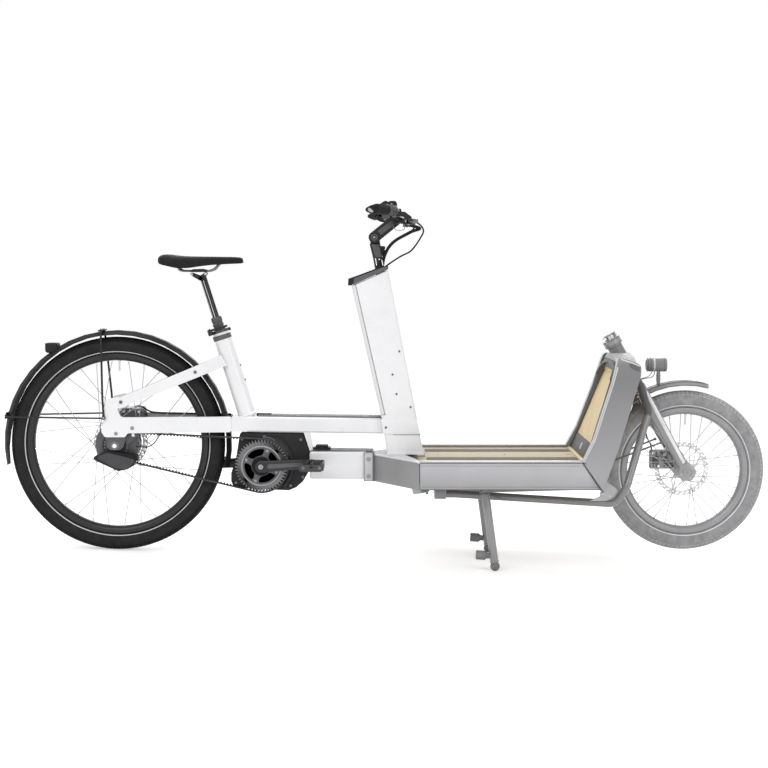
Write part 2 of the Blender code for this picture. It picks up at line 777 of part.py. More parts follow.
MOTOR_RIGHT = -0.0385
MOTOR_LEFT = 0.066
right_spindle = rod(CRANK_AXIS + LEFT * 0.003, CRANK_AXIS + LEFT * (CRANK_INNER + 0.002), SPINDLE_RADIUS)
piece(
    "right_crank", DARK_METAL, crankset,
    [mirrored(shape) for shape in (crank_arm(RIGHT_SIDE), *spider(), pedal_axle(RIGHT_SIDE), right_spindle)],
)
spindle_end = CRANK_AXIS + LEFT * (CRANK_INNER + 0.002)
left_spindle = rod(CRANK_AXIS - LEFT * (0.003 - GAP), spindle_end, SPINDLE_RADIUS)
piece("left_crank", DARK_METAL, crankset, [crank_arm(LEFT_SIDE), pedal_axle(LEFT_SIDE), left_spindle])

for side in (RIGHT_SIDE, LEFT_SIDE):
    reach = crank_reach if side == RIGHT_SIDE else -crank_reach
    centre = CRANK_AXIS + reach
    pedal_middle = centre + LEFT * side * (PEDAL_START + PEDAL_END) / 2
    pedal_joint = joint_at(f"{side_name(side)}_pedal_axis", pedal_middle)
    half_length = PEDAL_LENGTH / 2
    half_depth = PEDAL_THICKNESS / 2
    outline = rounded(
        [
            (centre.x - half_length, centre.z - half_depth),
            (centre.x + half_length, centre.z - half_depth),
            (centre.x + half_length, centre.z + half_depth),
            (centre.x - half_length, centre.z + half_depth),
        ],
        0.006, 1,
    )
    platform = prism(outline, PEDAL_START + GAP, PEDAL_END)
    axle_hole = rod(
        centre + LEFT * (PEDAL_START - 0.01), centre + LEFT * (PEDAL_END + 0.01),
        turning_bore(PEDAL_AXLE_RADIUS, 8), 8,
    )
    windows = []
    for way in (-1, 1):
        low = (centre.x + way * 0.023 - 0.009, PEDAL_START + 0.015, centre.z - 0.03)
        high = (centre.x + way * 0.023 + 0.009, PEDAL_END - 0.014, centre.z + 0.03)
        windows.append(block(low, high))
    shapes = [on_side(shape, side) for shape in (platform, axle_hole, *windows)]
    piece(f"{side_name(side)}_pedal", BLACK_PLASTIC, pedal_joint, shapes[:1], shapes[1:])


# Motor, beams and stays

motor_outline = rounded(
    [
        (-0.502, 0.214),
        (-0.507, 0.290),
        (-0.478, 0.378),
        (-0.450, 0.3925),
        (-0.272, 0.3865),
        (-0.250, 0.338),
        (-0.246, 0.262),
        (-0.284, 0.213),
        (-0.322, 0.199),
    ],
    0.010, 1,
)
motor_body = softened(prism(motor_outline, MOTOR_RIGHT, MOTOR_LEFT), 0.006)
motor_boss = turned(
    [(0, 0), (0.050, 0), (0.044, 0.005), (0, 0.005)], 16, CRANK_AXIS + LEFT * (MOTOR_LEFT - 0.0005)
)
motor_bore = rod(CRANK_AXIS - LEFT * 0.1, CRANK_AXIS + LEFT * 0.1, SPINDLE_RADIUS + RUNNING_GAP)
piece("motor_housing", BLACK_PLASTIC, bike, [motor_body, motor_boss], [motor_bore])


def beam_top_at(x):
    return BEAM_TOP - BEAM_DROP * (x - BEAM_REAR_X) / -BEAM_REAR_X


mast_rear = [(0.010, DECK_TOP), (-0.007, 0.439), (-0.106, 0.877)]
mast_front = [(0.013, 0.929), (0.131, DECK_TOP)]


def mast_rear_x(z):
    (low_x, low_z), (bend_x, bend_z), (top_x, top_z) = mast_rear
    if z < bend_z:
        return low_x + (bend_x - low_x) * (z - low_z) / (bend_z - low_z)
    return bend_x + (top_x - bend_x) * (z - bend_z) / (top_z - bend_z)


beam_end_top = beam_top_at(-0.008)
beam_end_bottom = beam_end_top - BEAM_HEIGHT
beam_outline = [
    (BEAM_REAR_X, BEAM_TOP),
    (BEAM_REAR_X, BEAM_TOP - BEAM_HEIGHT),
    (mast_rear_x(beam_end_bottom) - GAP, beam_end_bottom),
    (mast_rear_x(beam_end_top) - GAP, beam_end_top),
]
beam_shape = softened(prism(beam_outline, -BEAM_HALF_WIDTH, BEAM_HALF_WIDTH), 0.005)
yoke_front = BEAM_REAR_X + YOKE_LENGTH
yoke_outline = [
    (BEAM_REAR_X, -YOKE_HALF_WIDTH),
    (yoke_front, -BEAM_HALF_WIDTH + 0.001),
    (yoke_front, BEAM_HALF_WIDTH - 0.001),
    (BEAM_REAR_X, YOKE_HALF_WIDTH),
]
yoke = prism(yoke_outline, BEAM_TOP - BEAM_HEIGHT + 0.0005, BEAM_TOP - 0.0015, "XY")
motor_lug = prism(
    [
        (-0.266, 0.398),
        (-0.248, 0.398),
        (LOWER_BEAM_REAR_X + 0.012, LOWER_BEAM_TOP + GAP),
        (LOWER_BEAM_REAR_X + 0.0005, LOWER_BEAM_TOP + GAP),
    ],
    -0.036, 0.036,
)
piece("main_beam", WHITE_PAINT, bike, [beam_shape, yoke, motor_lug])

lower_outline = [
    (LOWER_BEAM_REAR_X, LOWER_BEAM_TOP),
    (LOWER_BEAM_REAR_X, LOWER_BEAM_BOTTOM),
    (LOWER_BEAM_FRONT_X, LOWER_BEAM_BOTTOM),
    (LOWER_BEAM_FRONT_X, LOWER_BEAM_TOP),
]
lower_shape = softened(prism(lower_outline, -LOWER_BEAM_HALF_WIDTH, LOWER_BEAM_HALF_WIDTH), 0.005)
FLANGE_X = DECK_CORNER_X - GAP
flange = softened(
    block((LOWER_BEAM_FRONT_X - 0.010, -0.056, 0.2365), (FLANGE_X, 0.056, 0.3275)), 0.003
)
piece("lower_beam", WHITE_PAINT, bike, [lower_shape, flange])

plate_front = REAR_AXLE_X + 0.080
stay_offset = [
    (plate_front, STAY_PLATE_OUTER - STAY_THICKNESS / 2),
    (BEAM_REAR_X, YOKE_HALF_WIDTH - STAY_THICKNESS / 2),
]
seat_stay_offset = [
    (plate_front, STAY_PLATE_OUTER - STAY_THICKNESS / 2),
    (-0.600, 0.0465),
    (-0.530, 0.0310),
]
SEAT_FOOT = Vector((SEAT_TUBE_FOOT_X, 0, beam_top_at(SEAT_TUBE_FOOT_X)))
seat_top = SEAT_FOOT + SEAT_AXIS * (SEAT_TUBE_TOP - SEAT_FOOT.z) / SEAT_AXIS.z


def beside_axle(*offsets):
    """Places in a side view, given from the rear axle."""
    return [(REAR_AXLE.x + x, REAR_AXLE.z + z) for x, z in offsets]


def rear_stays(side):
    """The axle plate, the chain stay and the seat stay of one side, with the axle's insert and its slot."""
    plate_and_chain = rounded(
        [
            *beside_axle((-0.029, 0.152), (-0.033, 0.085), (-0.043, 0.048), (-0.031, 0.029), (0.035, 0.029)),
            (REAR_AXLE_X + 0.044, BEAM_TOP - BEAM_HEIGHT),
            (BEAM_REAR_X - GAP, BEAM_TOP - BEAM_HEIGHT),
            (BEAM_REAR_X - GAP, BEAM_TOP),
            (REAR_AXLE_X + 0.022, BEAM_TOP + 0.001),
            *beside_axle((0.012, 0.116), (0.022, 0.162)),
        ],
        0.006, 1,
    )
    chain = prism(plate_and_chain, -STAY_THICKNESS / 2, STAY_THICKNESS / 2)
    chain = cut_across(chain, [station for station, _ in stay_offset])
    chain = bent(chain, lambda spot: between(spot.x, stay_offset))
    seat_outline = [
        *beside_axle((-0.020, 0.1425), (0.018, 0.123)),
        (-0.581, 0.588),
        (-0.515, 0.615),
        (-0.535, 0.649),
        (-0.599, 0.621),
    ]
    half = STAY_THICKNESS / 2 - 0.001
    seat = prism(seat_outline, -half, half)
    seat = cut_across(seat, [station for station, _ in seat_stay_offset] + [-0.565])
    seat = bent(seat, lambda spot: between(spot.x, seat_stay_offset))
    insert_outline = rounded(
        [
            *beside_axle((-0.028, -0.004), (-0.016, -0.015), (0.016, -0.015), (0.028, -0.004)),
            *beside_axle((0.042, 0.046), (-0.025, 0.046)),
        ],
        0.006, 1,
    )
    insert = prism(insert_outline, DROPOUT_INNER, DROPOUT_OUTER + 0.004)
    shapes = [chain, seat, insert]
    cuts = [
        rod(SEAT_FOOT - SEAT_AXIS * 0.1, seat_top + SEAT_AXIS * 0.05, SEAT_TUBE_RADIUS + GAP, 20),
        rod(REAR_AXLE, REAR_AXLE + LEFT * 0.12, AXLE_RADIUS + GAP),
    ]
    if side == LEFT_SIDE:
        low, high = REAR_AXLE + Vector((0, 0.0405, 0.051)), REAR_AXLE + Vector((0.084, 0.0760, 0.122))
        shapes.append(softened(block(low, high), 0.004))
        slot_half = ROTOR_THICKNESS / 2 + 0.0008
        slot_middle = HUB_LEFT + GAP + ROTOR_THICKNESS / 2
        low = REAR_AXLE + Vector((-0.020, slot_middle - slot_half, 0.036))
        high = REAR_AXLE + Vector((0.100, slot_middle + slot_half, 0.095))
        cuts.append(block(low, high))
    return [on_side(shape, side) for shape in shapes], [on_side(cut, side) for cut in cuts]


for side in (RIGHT_SIDE, LEFT_SIDE):
    stay_shapes, stay_cuts = rear_stays(side)
    piece(f"{side_name(side)}_stays", WHITE_PAINT, bike, stay_shapes, stay_cuts)

SEAT_BORE_DEPTH = 0.230
seat_shape = rod(SEAT_FOOT - SEAT_AXIS * 0.05, seat_top, SEAT_TUBE_RADIUS, 20)
seat_bore = rod(
    seat_top - SEAT_AXIS * SEAT_BORE_DEPTH, seat_top + SEAT_AXIS * 0.01, SEAT_POST_RADIUS + GAP, 12
)
below_beam = block((-0.6, -0.1, 0.3), (-0.3, 0.1, BEAM_TOP))
for vert in below_beam.verts:
    if vert.co.z > 0.4:
        vert.co.z = beam_top_at(vert.co.x) + GAP
piece("seat_tube", WHITE_PAINT, bike, [seat_shape], [seat_bore, below_beam])

axle_end = DROPOUT_OUTER + 0.010
axle_nut = DROPOUT_OUTER + 0.004
axle_shapes = [rod(REAR_AXLE - LEFT * axle_end, REAR_AXLE + LEFT * axle_end, AXLE_RADIUS)]
for side in (RIGHT_SIDE, LEFT_SIDE):
    nut_start = REAR_AXLE + LEFT * side * (axle_nut + GAP)
    axle_shapes.append(rod(nut_start, nut_start + LEFT * side * 0.007, 0.0105, 6))
piece("rear_axle", BARE_METAL, bike, axle_shapes)

SHIFTER_INNER = -SPROCKET_OUTER_Y + RUNNING_GAP
pod_outline = rounded(
    beside_axle(
        (-0.076, -0.040), (-0.036, -0.018), (-0.015, -0.0185), (0.074, -0.032),
        (0.063, -0.064), (0.042, -0.077), (0.011, -0.083), (-0.062, -0.049),
    ),
    0.006, 1,
)
shifter_pod = softened(prism(pod_outline, SHIFTER_INNER + 0.002, 0.088), 0.004)
shifter_ring = turned(
    [
        (AXLE_RADIUS + GAP, 0),
        (0.036, 0),
        (0.034, DROPOUT_INNER - GAP - SHIFTER_INNER),
        (AXLE_RADIUS + GAP, DROPOUT_INNER - GAP - SHIFTER_INNER),
    ],
    14, REAR_AXLE + LEFT * SHIFTER_INNER,
)
piece("shift_actuator", GREY_METAL, bike, [mirrored(shifter_ring), mirrored(shifter_pod)])


# Steering mast, battery and column

def mast_front_x(z):
    (top_x, top_z), (low_x, low_z) = mast_front
    return low_x + (top_x - low_x) * (z - low_z) / (top_z - low_z)


def mast_outline(inset, foot, rear_top, front_top):
    """The mast's side view between its foot and its sloping top, drawn in from its two edges."""
    bend_x, bend_z = mast_rear[1]
    return [
        (mast_rear_x(foot) + inset, foot),
        (bend_x + inset, bend_z),
        (mast_rear_x(rear_top) + inset, rear_top),
        (mast_front_x(front_top) - inset, front_top),
        (mast_front_x(foot) - inset, foot),
    ]


MAST_FOOT = DECK_TOP + GAP
COVER_FOOT = 0.452
MAST_REAR_TOP = mast_rear[2][1]
MAST_FRONT_TOP = mast_front[0][1]
mast_shell = softened(
    prism(mast_outline(0, MAST_FOOT, MAST_REAR_TOP, MAST_FRONT_TOP), -MAST_HALF_WIDTH, MAST_HALF_WIDTH),
    0.005,
)
inner_half = MAST_HALF_WIDTH - MAST_WALL
mast_inside = prism(
    mast_outline(MAST_WALL, MAST_FOOT - 0.02, MAST_REAR_TOP + 0.03, MAST_FRONT_TOP + 0.03),
    -inner_half, inner_half,
)
mast_back = prism(
    [
        (mast_rear_x(COVER_FOOT) - 0.03, COVER_FOOT),
        (mast_rear_x(COVER_FOOT) + MAST_COVER_DEPTH + GAP, COVER_FOOT),
        (mast_rear_x(0.95) + MAST_COVER_DEPTH + GAP, 0.95),
        (mast_rear_x(0.95) - 0.03, 0.95),
    ],
    -0.08, 0.08,
)
piece("steering_mast", WHITE_PAINT, bike, [mast_shell], [mast_inside, mast_back])

cover_top_z = 0.877
cover_rise = 0.0055
cover_outline = [
    (mast_rear_x(COVER_FOOT + GAP), COVER_FOOT + GAP),
    (mast_rear_x(COVER_FOOT + GAP) + MAST_COVER_DEPTH, COVER_FOOT + GAP),
    (mast_rear_x(cover_top_z + cover_rise) + MAST_COVER_DEPTH, cover_top_z + cover_rise),
    (mast_rear_x(cover_top_z), cover_top_z),
]
cover_shape = softened(prism(cover_outline, -MAST_HALF_WIDTH, MAST_HALF_WIDTH), 0.004)
cover_inside = prism(
    [
        (mast_rear_x(COVER_FOOT) + MAST_WALL, COVER_FOOT - 0.02),
        (mast_rear_x(COVER_FOOT) + 0.05, COVER_FOOT - 0.02),
        (mast_rear_x(0.92) + 0.05, 0.92),
        (mast_rear_x(0.92) + MAST_WALL, 0.92),
    ],
    -inner_half, inner_half,
)
piece("battery_cover", WHITE_PAINT, bike, [cover_shape], [cover_inside])

BATTERY_THICKNESS = 0.052
battery_foot = 0.468
battery_head = 0.835
battery_outline = [
    (mast_rear_x(battery_foot) + MAST_WALL + 0.0012, battery_foot),
    (mast_rear_x(battery_foot) + MAST_WALL + BATTERY_THICKNESS, battery_foot),
    (mast_rear_x(battery_head) + MAST_WALL + BATTERY_THICKNESS, battery_head),
    (mast_rear_x(battery_head) + MAST_WALL + 0.0012, battery_head),
]
battery_half = inner_half - GAP
piece(
    "battery", BLACK_PLASTIC, bike,
    [softened(prism(battery_outline, -battery_half, battery_half), 0.006)],
)

cap_outline = [
    (-0.114, 0.8790),
    (0.0128, 0.9345),
    (0.0135, 0.9400),
    (-0.007, 0.9385),
    (-0.113, 0.8990),
    (-0.116, 0.8890),
]
cap_shape = prism(cap_outline, -MAST_HALF_WIDTH - 0.001, MAST_HALF_WIDTH + 0.001)


def column_point(z):
    return COLUMN_TOP + COLUMN_AXIS * (z - COLUMN_TOP.z) / COLUMN_AXIS.z


def cleared_above_mast(shape):
    """Lifts the cap's lower face to one clearance above the mast's sloping top."""
    (top_x, top_z), (front_x, front_z) = mast_rear[2], mast_front[0]
    slope = (front_z - top_z) / (front_x - top_x)
    for vert in shape.verts:
        floor = top_z + slope * (vert.co.x - top_x) + GAP * 2
        if vert.co.z < floor + 0.004:
            vert.co.z = floor
    return shape


column_hole = rod(column_point(0.80), column_point(1.00), COLUMN_RADIUS + RUNNING_GAP, 14)
piece("mast_cap", BLACK_PLASTIC, bike, [cleared_above_mast(cap_shape)], [column_hole])

steering = joint_at("steering_axis", column_point(0.60))
COLUMN_FOOT = 0.196
column_shapes = [
    rod(column_point(COLUMN_FOOT), column_point(0.960), COLUMN_RADIUS, 14),
    rod(column_point(COLUMN_FOOT - 0.006), column_point(0.222), 0.029, 14),
    rod(column_point(0.9440), column_point(0.972), 0.0195, 14),
    rod(column_point(0.968), STEM_PIVOT - COLUMN_AXIS * 0.012, 0.0165, 14),
]
STEM_TONGUE = 0.0085
STEM_EYE = 0.0175
eye = rod(STEM_PIVOT - LEFT * STEM_TONGUE, STEM_PIVOT + LEFT * STEM_TONGUE, STEM_EYE, 14)
STEM_PIN_RADIUS = 0.005
stem_pin = rod(STEM_PIVOT - LEFT * 0.0215, STEM_PIVOT + LEFT * 0.0215, STEM_PIN_RADIUS, 8)
stem_trim = [
    block(
        (STEM_PIVOT.x - 0.05, side * 0.025 - 0.025 + side * STEM_TONGUE, STEM_PIVOT.z - STEM_EYE - 0.008),
        (STEM_PIVOT.x + 0.05, side * 0.025 + 0.025 + side * STEM_TONGUE, STEM_PIVOT.z + 0.05),
    )
    for side in (-1, 1)
]
piece("steering_column", DARK_METAL, steering, [*column_shapes, eye], stem_trim, [stem_pin])


# Handlebar

def bar_route():
    """Half of the bar, from the middle to its left end: up a little and swept back."""
    return [
        BAR_CENTRE + Vector((0, 0.000, 0)),
        BAR_CENTRE + Vector((0, 0.045, 0)),
        BAR_CENTRE + Vector((-0.004, 0.110, 0.012)),
        BAR_CENTRE + Vector((-0.016, 0.190, 0.020)),
        BAR_CENTRE + Vector((-0.068, BAR_HALF_WIDTH, 0.022)),
    ]


half_route = rounded(bar_route(), 0.08, 2, closed=False)
full_route = [Vector((spot.x, -spot.y, spot.z)) for spot in reversed(half_route[1:])] + half_route

stem_joint = joint_at("stem_axis", STEM_PIVOT)
ARM_RADIUS = 0.0185
arm_shape = softened(prism(capsule(STEM_PIVOT, BAR_CENTRE, ARM_RADIUS, ARM_RADIUS, 4), -0.020, 0.020), 0.003)
tongue_slot = prism(
    rounded(
        [
            (STEM_PIVOT.x - 0.040, STEM_PIVOT.z - 0.040),
            (STEM_PIVOT.x + 0.045, STEM_PIVOT.z - 0.040),
            (STEM_PIVOT.x + 0.020, STEM_PIVOT.z + 0.022),
            (STEM_PIVOT.x - 0.010, STEM_PIVOT.z + 0.030),
            (STEM_PIVOT.x - 0.040, STEM_PIVOT.z + 0.020),
        ],
        0.004, 1,
    ),
    -STEM_TONGUE - GAP, STEM_TONGUE + GAP,
)
pin_hole = rod(STEM_PIVOT - LEFT * 0.05, STEM_PIVOT + LEFT * 0.05, turning_bore(STEM_PIN_RADIUS, 8), 8)
bar_hole = pipe(full_route, BAR_RADIUS + GAP, 2)
piece("stem_arm", DARK_METAL, stem_joint, [arm_shape], [tongue_slot, pin_hole, bar_hole])


GRIP_START = 0.200
LEVER_PIVOT = Vector((0.078, 0.160, 1.082))


def bar_spot(y):
    """Where the bar's middle line passes the given distance from the centre, on the left."""
    stations = [(spot.y, spot.x, spot.z) for spot in half_route]
    return Vector(
        (
            between(y, [(station, x) for station, x, _ in stations]),
            y,
            between(y, [(station, z) for station, _, z in stations]),
        )
    )


def lever_mount(side):
    """The clamp, the reservoir and the two ears that hold the lever."""
    clamp_at = bar_spot(0.160)
    along = (bar_spot(0.170) - bar_spot(0.150)).normalized()
    clamp = rod(clamp_at - along * 0.010, clamp_at + along * 0.010, 0.017, 10)
    reservoir = rod((0.062, 0.090, 1.100), (0.068, 0.148, 1.096), 0.0095, 8)
    ears_outline = [
        (0.030, 1.098),
        (0.064, 1.096),
        (0.064, 1.072),
        (0.088, 1.072),
        (0.088, 1.096),
        (0.066, 1.112),
        (0.030, 1.114),
    ]
    ears = prism(ears_outline, 0.142, 0.172)
    return [on_side(shape, side) for shape in (clamp, reservoir, ears)]


LEVER_SLOT = 0.0105
lever_cuts = []
for side in (RIGHT_SIDE, LEFT_SIDE):
    slot = block(
        (0.0665, 0.130, LEVER_PIVOT.z - LEVER_SLOT / 2), (0.110, 0.190, LEVER_PIVOT.z + LEVER_SLOT / 2)
    )
    lever_cuts.append(on_side(slot, side))
lever_pins = []
for side in (RIGHT_SIDE, LEFT_SIDE):
    lever_pins.append(on_side(rod(LEVER_PIVOT - UP * 0.009, LEVER_PIVOT + UP * 0.009, 0.003, 8), side))
bar_tube = pipe(full_route, BAR_RADIUS, 2)
piece(
    "handlebar", BLACK_PLASTIC, stem_joint,
    [bar_tube, *lever_mount(RIGHT_SIDE), *lever_mount(LEFT_SIDE)], lever_cuts, lever_pins,
)

for side in (RIGHT_SIDE, LEFT_SIDE):
    grip_from = bar_spot(GRIP_START)
    grip_to = bar_spot(BAR_HALF_WIDTH)
    grip_line = (grip_to - grip_from).normalized()
    sleeve = rod(grip_from, grip_to + grip_line * 0.004, 0.0165, 12)
    wing_outline = rounded(
        [
            (grip_from.x - 0.004, grip_from.y + 0.030),
            (grip_to.x + 0.004, grip_to.y),
            (grip_to.x - 0.034, grip_to.y - 0.004),
            (grip_to.x - 0.030, grip_to.y - 0.052),
        ],
        0.012, 1,
    )
    wing = softened(prism(wing_outline, grip_to.z - 0.0075, grip_to.z + 0.0075, "XY"), 0.004)
    bore_route = [*full_route[:-1], full_route[-1] + grip_line * GAP * 2]
    grip_bore = pipe(bore_route, BAR_RADIUS + GAP, 2)
    grip_shapes = [on_side(shape, side) for shape in (sleeve, wing, grip_bore)]
    piece(f"{side_name(side)}_grip", GRIP_RUBBER, stem_joint, grip_shapes[:2], grip_shapes[2:])

    pivot = Vector((LEVER_PIVOT.x, side * LEVER_PIVOT.y, LEVER_PIVOT.z))
    lever_joint = joint_at(f"{side_name(side)}_brake_lever_axis", pivot)
    blade_outline = rounded(
        [
            (0.071, 0.152),
            (0.086, 0.150),
            (0.104, 0.178),
            (0.108, 0.215),
            (0.090, 0.290),
            (0.082, 0.302),
            (0.076, 0.296),
            (0.092, 0.212),
            (0.088, 0.186),
            (0.071, 0.168),
        ],
        0.004, 1,
    )
    half = LEVER_SLOT / 2 - GAP
    blade = prism(blade_outline, LEVER_PIVOT.z - half, LEVER_PIVOT.z + half, "XY")
    lever_hole = rod(LEVER_PIVOT - UP * 0.02, LEVER_PIVOT + UP * 0.02, 0.003 + GAP, 8)
    lever_shapes = [on_side(shape, side) for shape in (blade, lever_hole)]
    piece(
        f"{side_name(side)}_brake_lever", DARK_METAL, lever_joint, lever_shapes[:1], lever_shapes[1:]
    )

display_outline = rounded(
    [
        (-0.012, 1.130),
        (0.006, 1.1225),
        (0.062, 1.1185),
        (0.068, 1.128),
        (0.012, 1.146),
        (-0.010, 1.158),
    ],
    0.004, 1,
)
display_case = softened(prism(display_outline, -0.030, 0.030), 0.003)
display_foot = block((0.034, -0.012, BAR_CENTRE.z + 0.010), (0.056, 0.012, 1.124))
round_arm = capsule(STEM_PIVOT, BAR_CENTRE, ARM_RADIUS + GAP, ARM_RADIUS + GAP, 4)
piece("display", BLACK_PLASTIC, stem_joint, [display_case, display_foot], [prism(round_arm, -0.03, 0.03)])


# Saddle and seat post

seat_slide = joint_at("seat_post_axis", seat_top)


def seat_point(distance):
    """A point on the seat post's line, measured from the top of the seat tube."""
    return seat_top + SEAT_AXIS * distance


POST_HEAD = 0.196
post_rod = rod(seat_point(-0.200), seat_point(POST_HEAD), SEAT_POST_RADIUS, 12)
head_centre = seat_point(POST_HEAD) + Vector((-0.002, 0, 0.014))
RAIL_HALF_GAUGE = 0.022
RAIL_RADIUS = 0.0035
RAIL_Z = 0.9240
clamp_block = softened(
    block((head_centre.x - 0.026, -0.028, 0.897), (head_centre.x + 0.024, 0.028, 0.935)), 0.005
)
rail_grooves = []
for side in (-1, 1):
    y = side * RAIL_HALF_GAUGE
    rail_grooves.append(rod((-0.80, y, RAIL_Z), (-0.40, y, RAIL_Z), RAIL_RADIUS + GAP, 8))
piece("seat_post", DARK_METAL, seat_slide, [post_rod, clamp_block], rail_grooves)

SADDLE_STATIONS = (
    (-0.736, 0.966, 0.046, 0.012),
    (-0.722, 0.965, 0.068, 0.017),
    (-0.690, 0.963, 0.078, 0.018),
    (-0.650, 0.961, 0.070, 0.017),
    (-0.600, 0.960, 0.046, 0.015),
    (-0.540, 0.959, 0.027, 0.014),
    (-0.490, 0.957, 0.021, 0.014),
    (-0.466, 0.953, 0.015, 0.011),
    (-0.459, 0.950, 0.007, 0.006),
)


def saddle_shell():
    """Oval sections, wide at the back and narrow at the nose, bridged from one to the next."""
    shape = bmesh.new()
    rings = []
    for x, z, half_width, half_depth in SADDLE_STATIONS:
        made = bmesh.ops.create_circle(shape, radius=1.0, segments=14)
        matrix = Matrix.Translation((x, 0, z)) @ Matrix.Diagonal((1, half_width, half_depth, 1))
        matrix = matrix @ Matrix.Rotation(math.pi / 2, 4, "Y")
        bmesh.ops.transform(shape, matrix=matrix, verts=made["verts"])
        rings.append(made["verts"])
    ring_edges = [[edge for edge in shape.edges if edge.verts[0] in ring] for ring in map(set, rings)]
    for first, second in zip(ring_edges, ring_edges[1:]):
        bmesh.ops.bridge_loops(shape, edges=first + second)
    for ring in (rings[0], rings[-1]):
        shape.faces.new(ring)
    return closed_up(shape)


rail_shapes = []
for side in (-1, 1):
    y = side * RAIL_HALF_GAUGE
    rail_route = rounded(
        [
            (-0.700, side * 0.030, 0.955),
            (-0.672, y, RAIL_Z + 0.002),
            (-0.655, y, RAIL_Z),
            (-0.560, y, RAIL_Z),
            (-0.520, side * 0.012, 0.953),
        ],
        0.02, 1, closed=False,
    )
    rail_shapes.append(pipe(rail_route, RAIL_RADIUS, 1))
piece("saddle", GRIP_RUBBER, seat_slide, [saddle_shell(), *rail_shapes])

COLLAR_HEIGHT = 0.062
collar_bore = SEAT_POST_RADIUS + GAP
collar_ring = turned(
    [
        (collar_bore, GAP),
        (0.0300, GAP),
        (0.0300, 0.034),
        (0.0195, 0.040),
        (0.0185, COLLAR_HEIGHT),
        (collar_bore, COLLAR_HEIGHT),
    ],
    16, seat_top, SEAT_AXIS,
)
LEVER_PIVOT_RADIUS = 0.0405
LEVER_SWEEP_RADIUS = 0.0400
seat_forward = Vector((math.cos(SEAT_ANGLE), 0, math.sin(SEAT_ANGLE)))


def round_collar(angle, radius, height):
    """A point beside the collar, from straight ahead towards the right, at a height above the seat tube."""
    out = seat_forward * math.cos(angle) - LEFT * math.sin(angle)
    return seat_top + SEAT_AXIS * height + out * radius


QR_ANGLE = math.radians(138)
QR_HEIGHT = 0.012
QR_PIN = 0.003
lever_axis_at = round_collar(QR_ANGLE, LEVER_PIVOT_RADIUS, QR_HEIGHT)
lug_bridge = rod(round_collar(QR_ANGLE, 0.022, QR_HEIGHT), lever_axis_at, 0.005, 8)
collar_lug = rod(lever_axis_at - SEAT_AXIS * 0.006, lever_axis_at + SEAT_AXIS * 0.006, 0.0085, 10)
qr_pin = rod(lever_axis_at - SEAT_AXIS * 0.004, lever_axis_at + SEAT_AXIS * 0.0165, QR_PIN, 8)
piece("seat_collar", BLACK_PLASTIC, bike, [collar_ring, lug_bridge, collar_lug, qr_pin])

lever_joint = joint_at("seat_lever_axis", lever_axis_at)
lever_start = lever_axis_at + SEAT_AXIS * (0.006 + GAP)
lever_eye = rod(lever_start, lever_start + SEAT_AXIS * 0.008, 0.0085, 10)
blade_height = QR_HEIGHT + 0.006 + GAP + 0.004
lever_route = [lever_start + SEAT_AXIS * 0.004]
for degrees in (112, 88, 64, 44):
    lever_route.append(round_collar(math.radians(degrees), LEVER_SWEEP_RADIUS, blade_height))
lever_blade = pipe(lever_route, 0.0040, 1)
eye_hole = rod(lever_axis_at - SEAT_AXIS * 0.03, lever_axis_at + SEAT_AXIS * 0.04, QR_PIN + GAP, 8)
piece("seat_lever", BARE_METAL, lever_joint, [lever_eye, lever_blade], [eye_hole])


# Cargo deck

DECK_REAR_X = 0.107
CORNER_INNER_Y = 0.050
rail_inner = DECK_HALF_WIDTH - RAIL_THICKNESS
corner_run = DECK_HALF_WIDTH - CORNER_INNER_Y
corner_slope = (DECK_REAR_X - DECK_CORNER_X) / corner_run
corner_depth = 0.006
SPINE_FRONT_X = 0.135
corner_outline = [
    (DECK_CORNER_X, -CORNER_INNER_Y),
    (DECK_REAR_X - corner_slope * GAP, -DECK_HALF_WIDTH + GAP),
    (DECK_REAR_X + corner_depth, -DECK_HALF_WIDTH + GAP),
    (0.030, -CORNER_INNER_Y - 0.008),
    (SPINE_FRONT_X, -CORNER_INNER_Y - 0.008),
    (SPINE_FRONT_X, CORNER_INNER_Y + 0.008),
    (0.030, CORNER_INNER_Y + 0.008),
    (DECK_REAR_X + corner_depth, DECK_HALF_WIDTH - GAP),
    (DECK_REAR_X - corner_slope * GAP, DECK_HALF_WIDTH - GAP),
    (DECK_CORNER_X, CORNER_INNER_Y),
]
deck_rear = softened(prism(corner_outline, DECK_BOTTOM, DECK_TOP, "XY"), 0.003)
TUBE_BLOCK_REAR = 0.166
TUBE_BLOCK_FRONT = 0.2035
UNDER_FLOOR = FLOOR_TOP - FLOOR_THICKNESS - GAP
low_spine = block(
    (SPINE_FRONT_X - 0.010, -CORNER_INNER_Y - 0.008, DECK_BOTTOM),
    (TUBE_BLOCK_REAR + 0.024, CORNER_INNER_Y + 0.008, UNDER_FLOOR),
)
tube_block = block((TUBE_BLOCK_REAR, -0.060, 0.176), (TUBE_BLOCK_FRONT, 0.060, DECK_BOTTOM + 0.004))
column_bore = rod(column_point(0.15), column_point(0.45), COLUMN_RADIUS + RUNNING_GAP, 14)
piece("deck_rear_frame", GREY_PAINT, bike, [deck_rear, low_spine, tube_block], [column_bore])

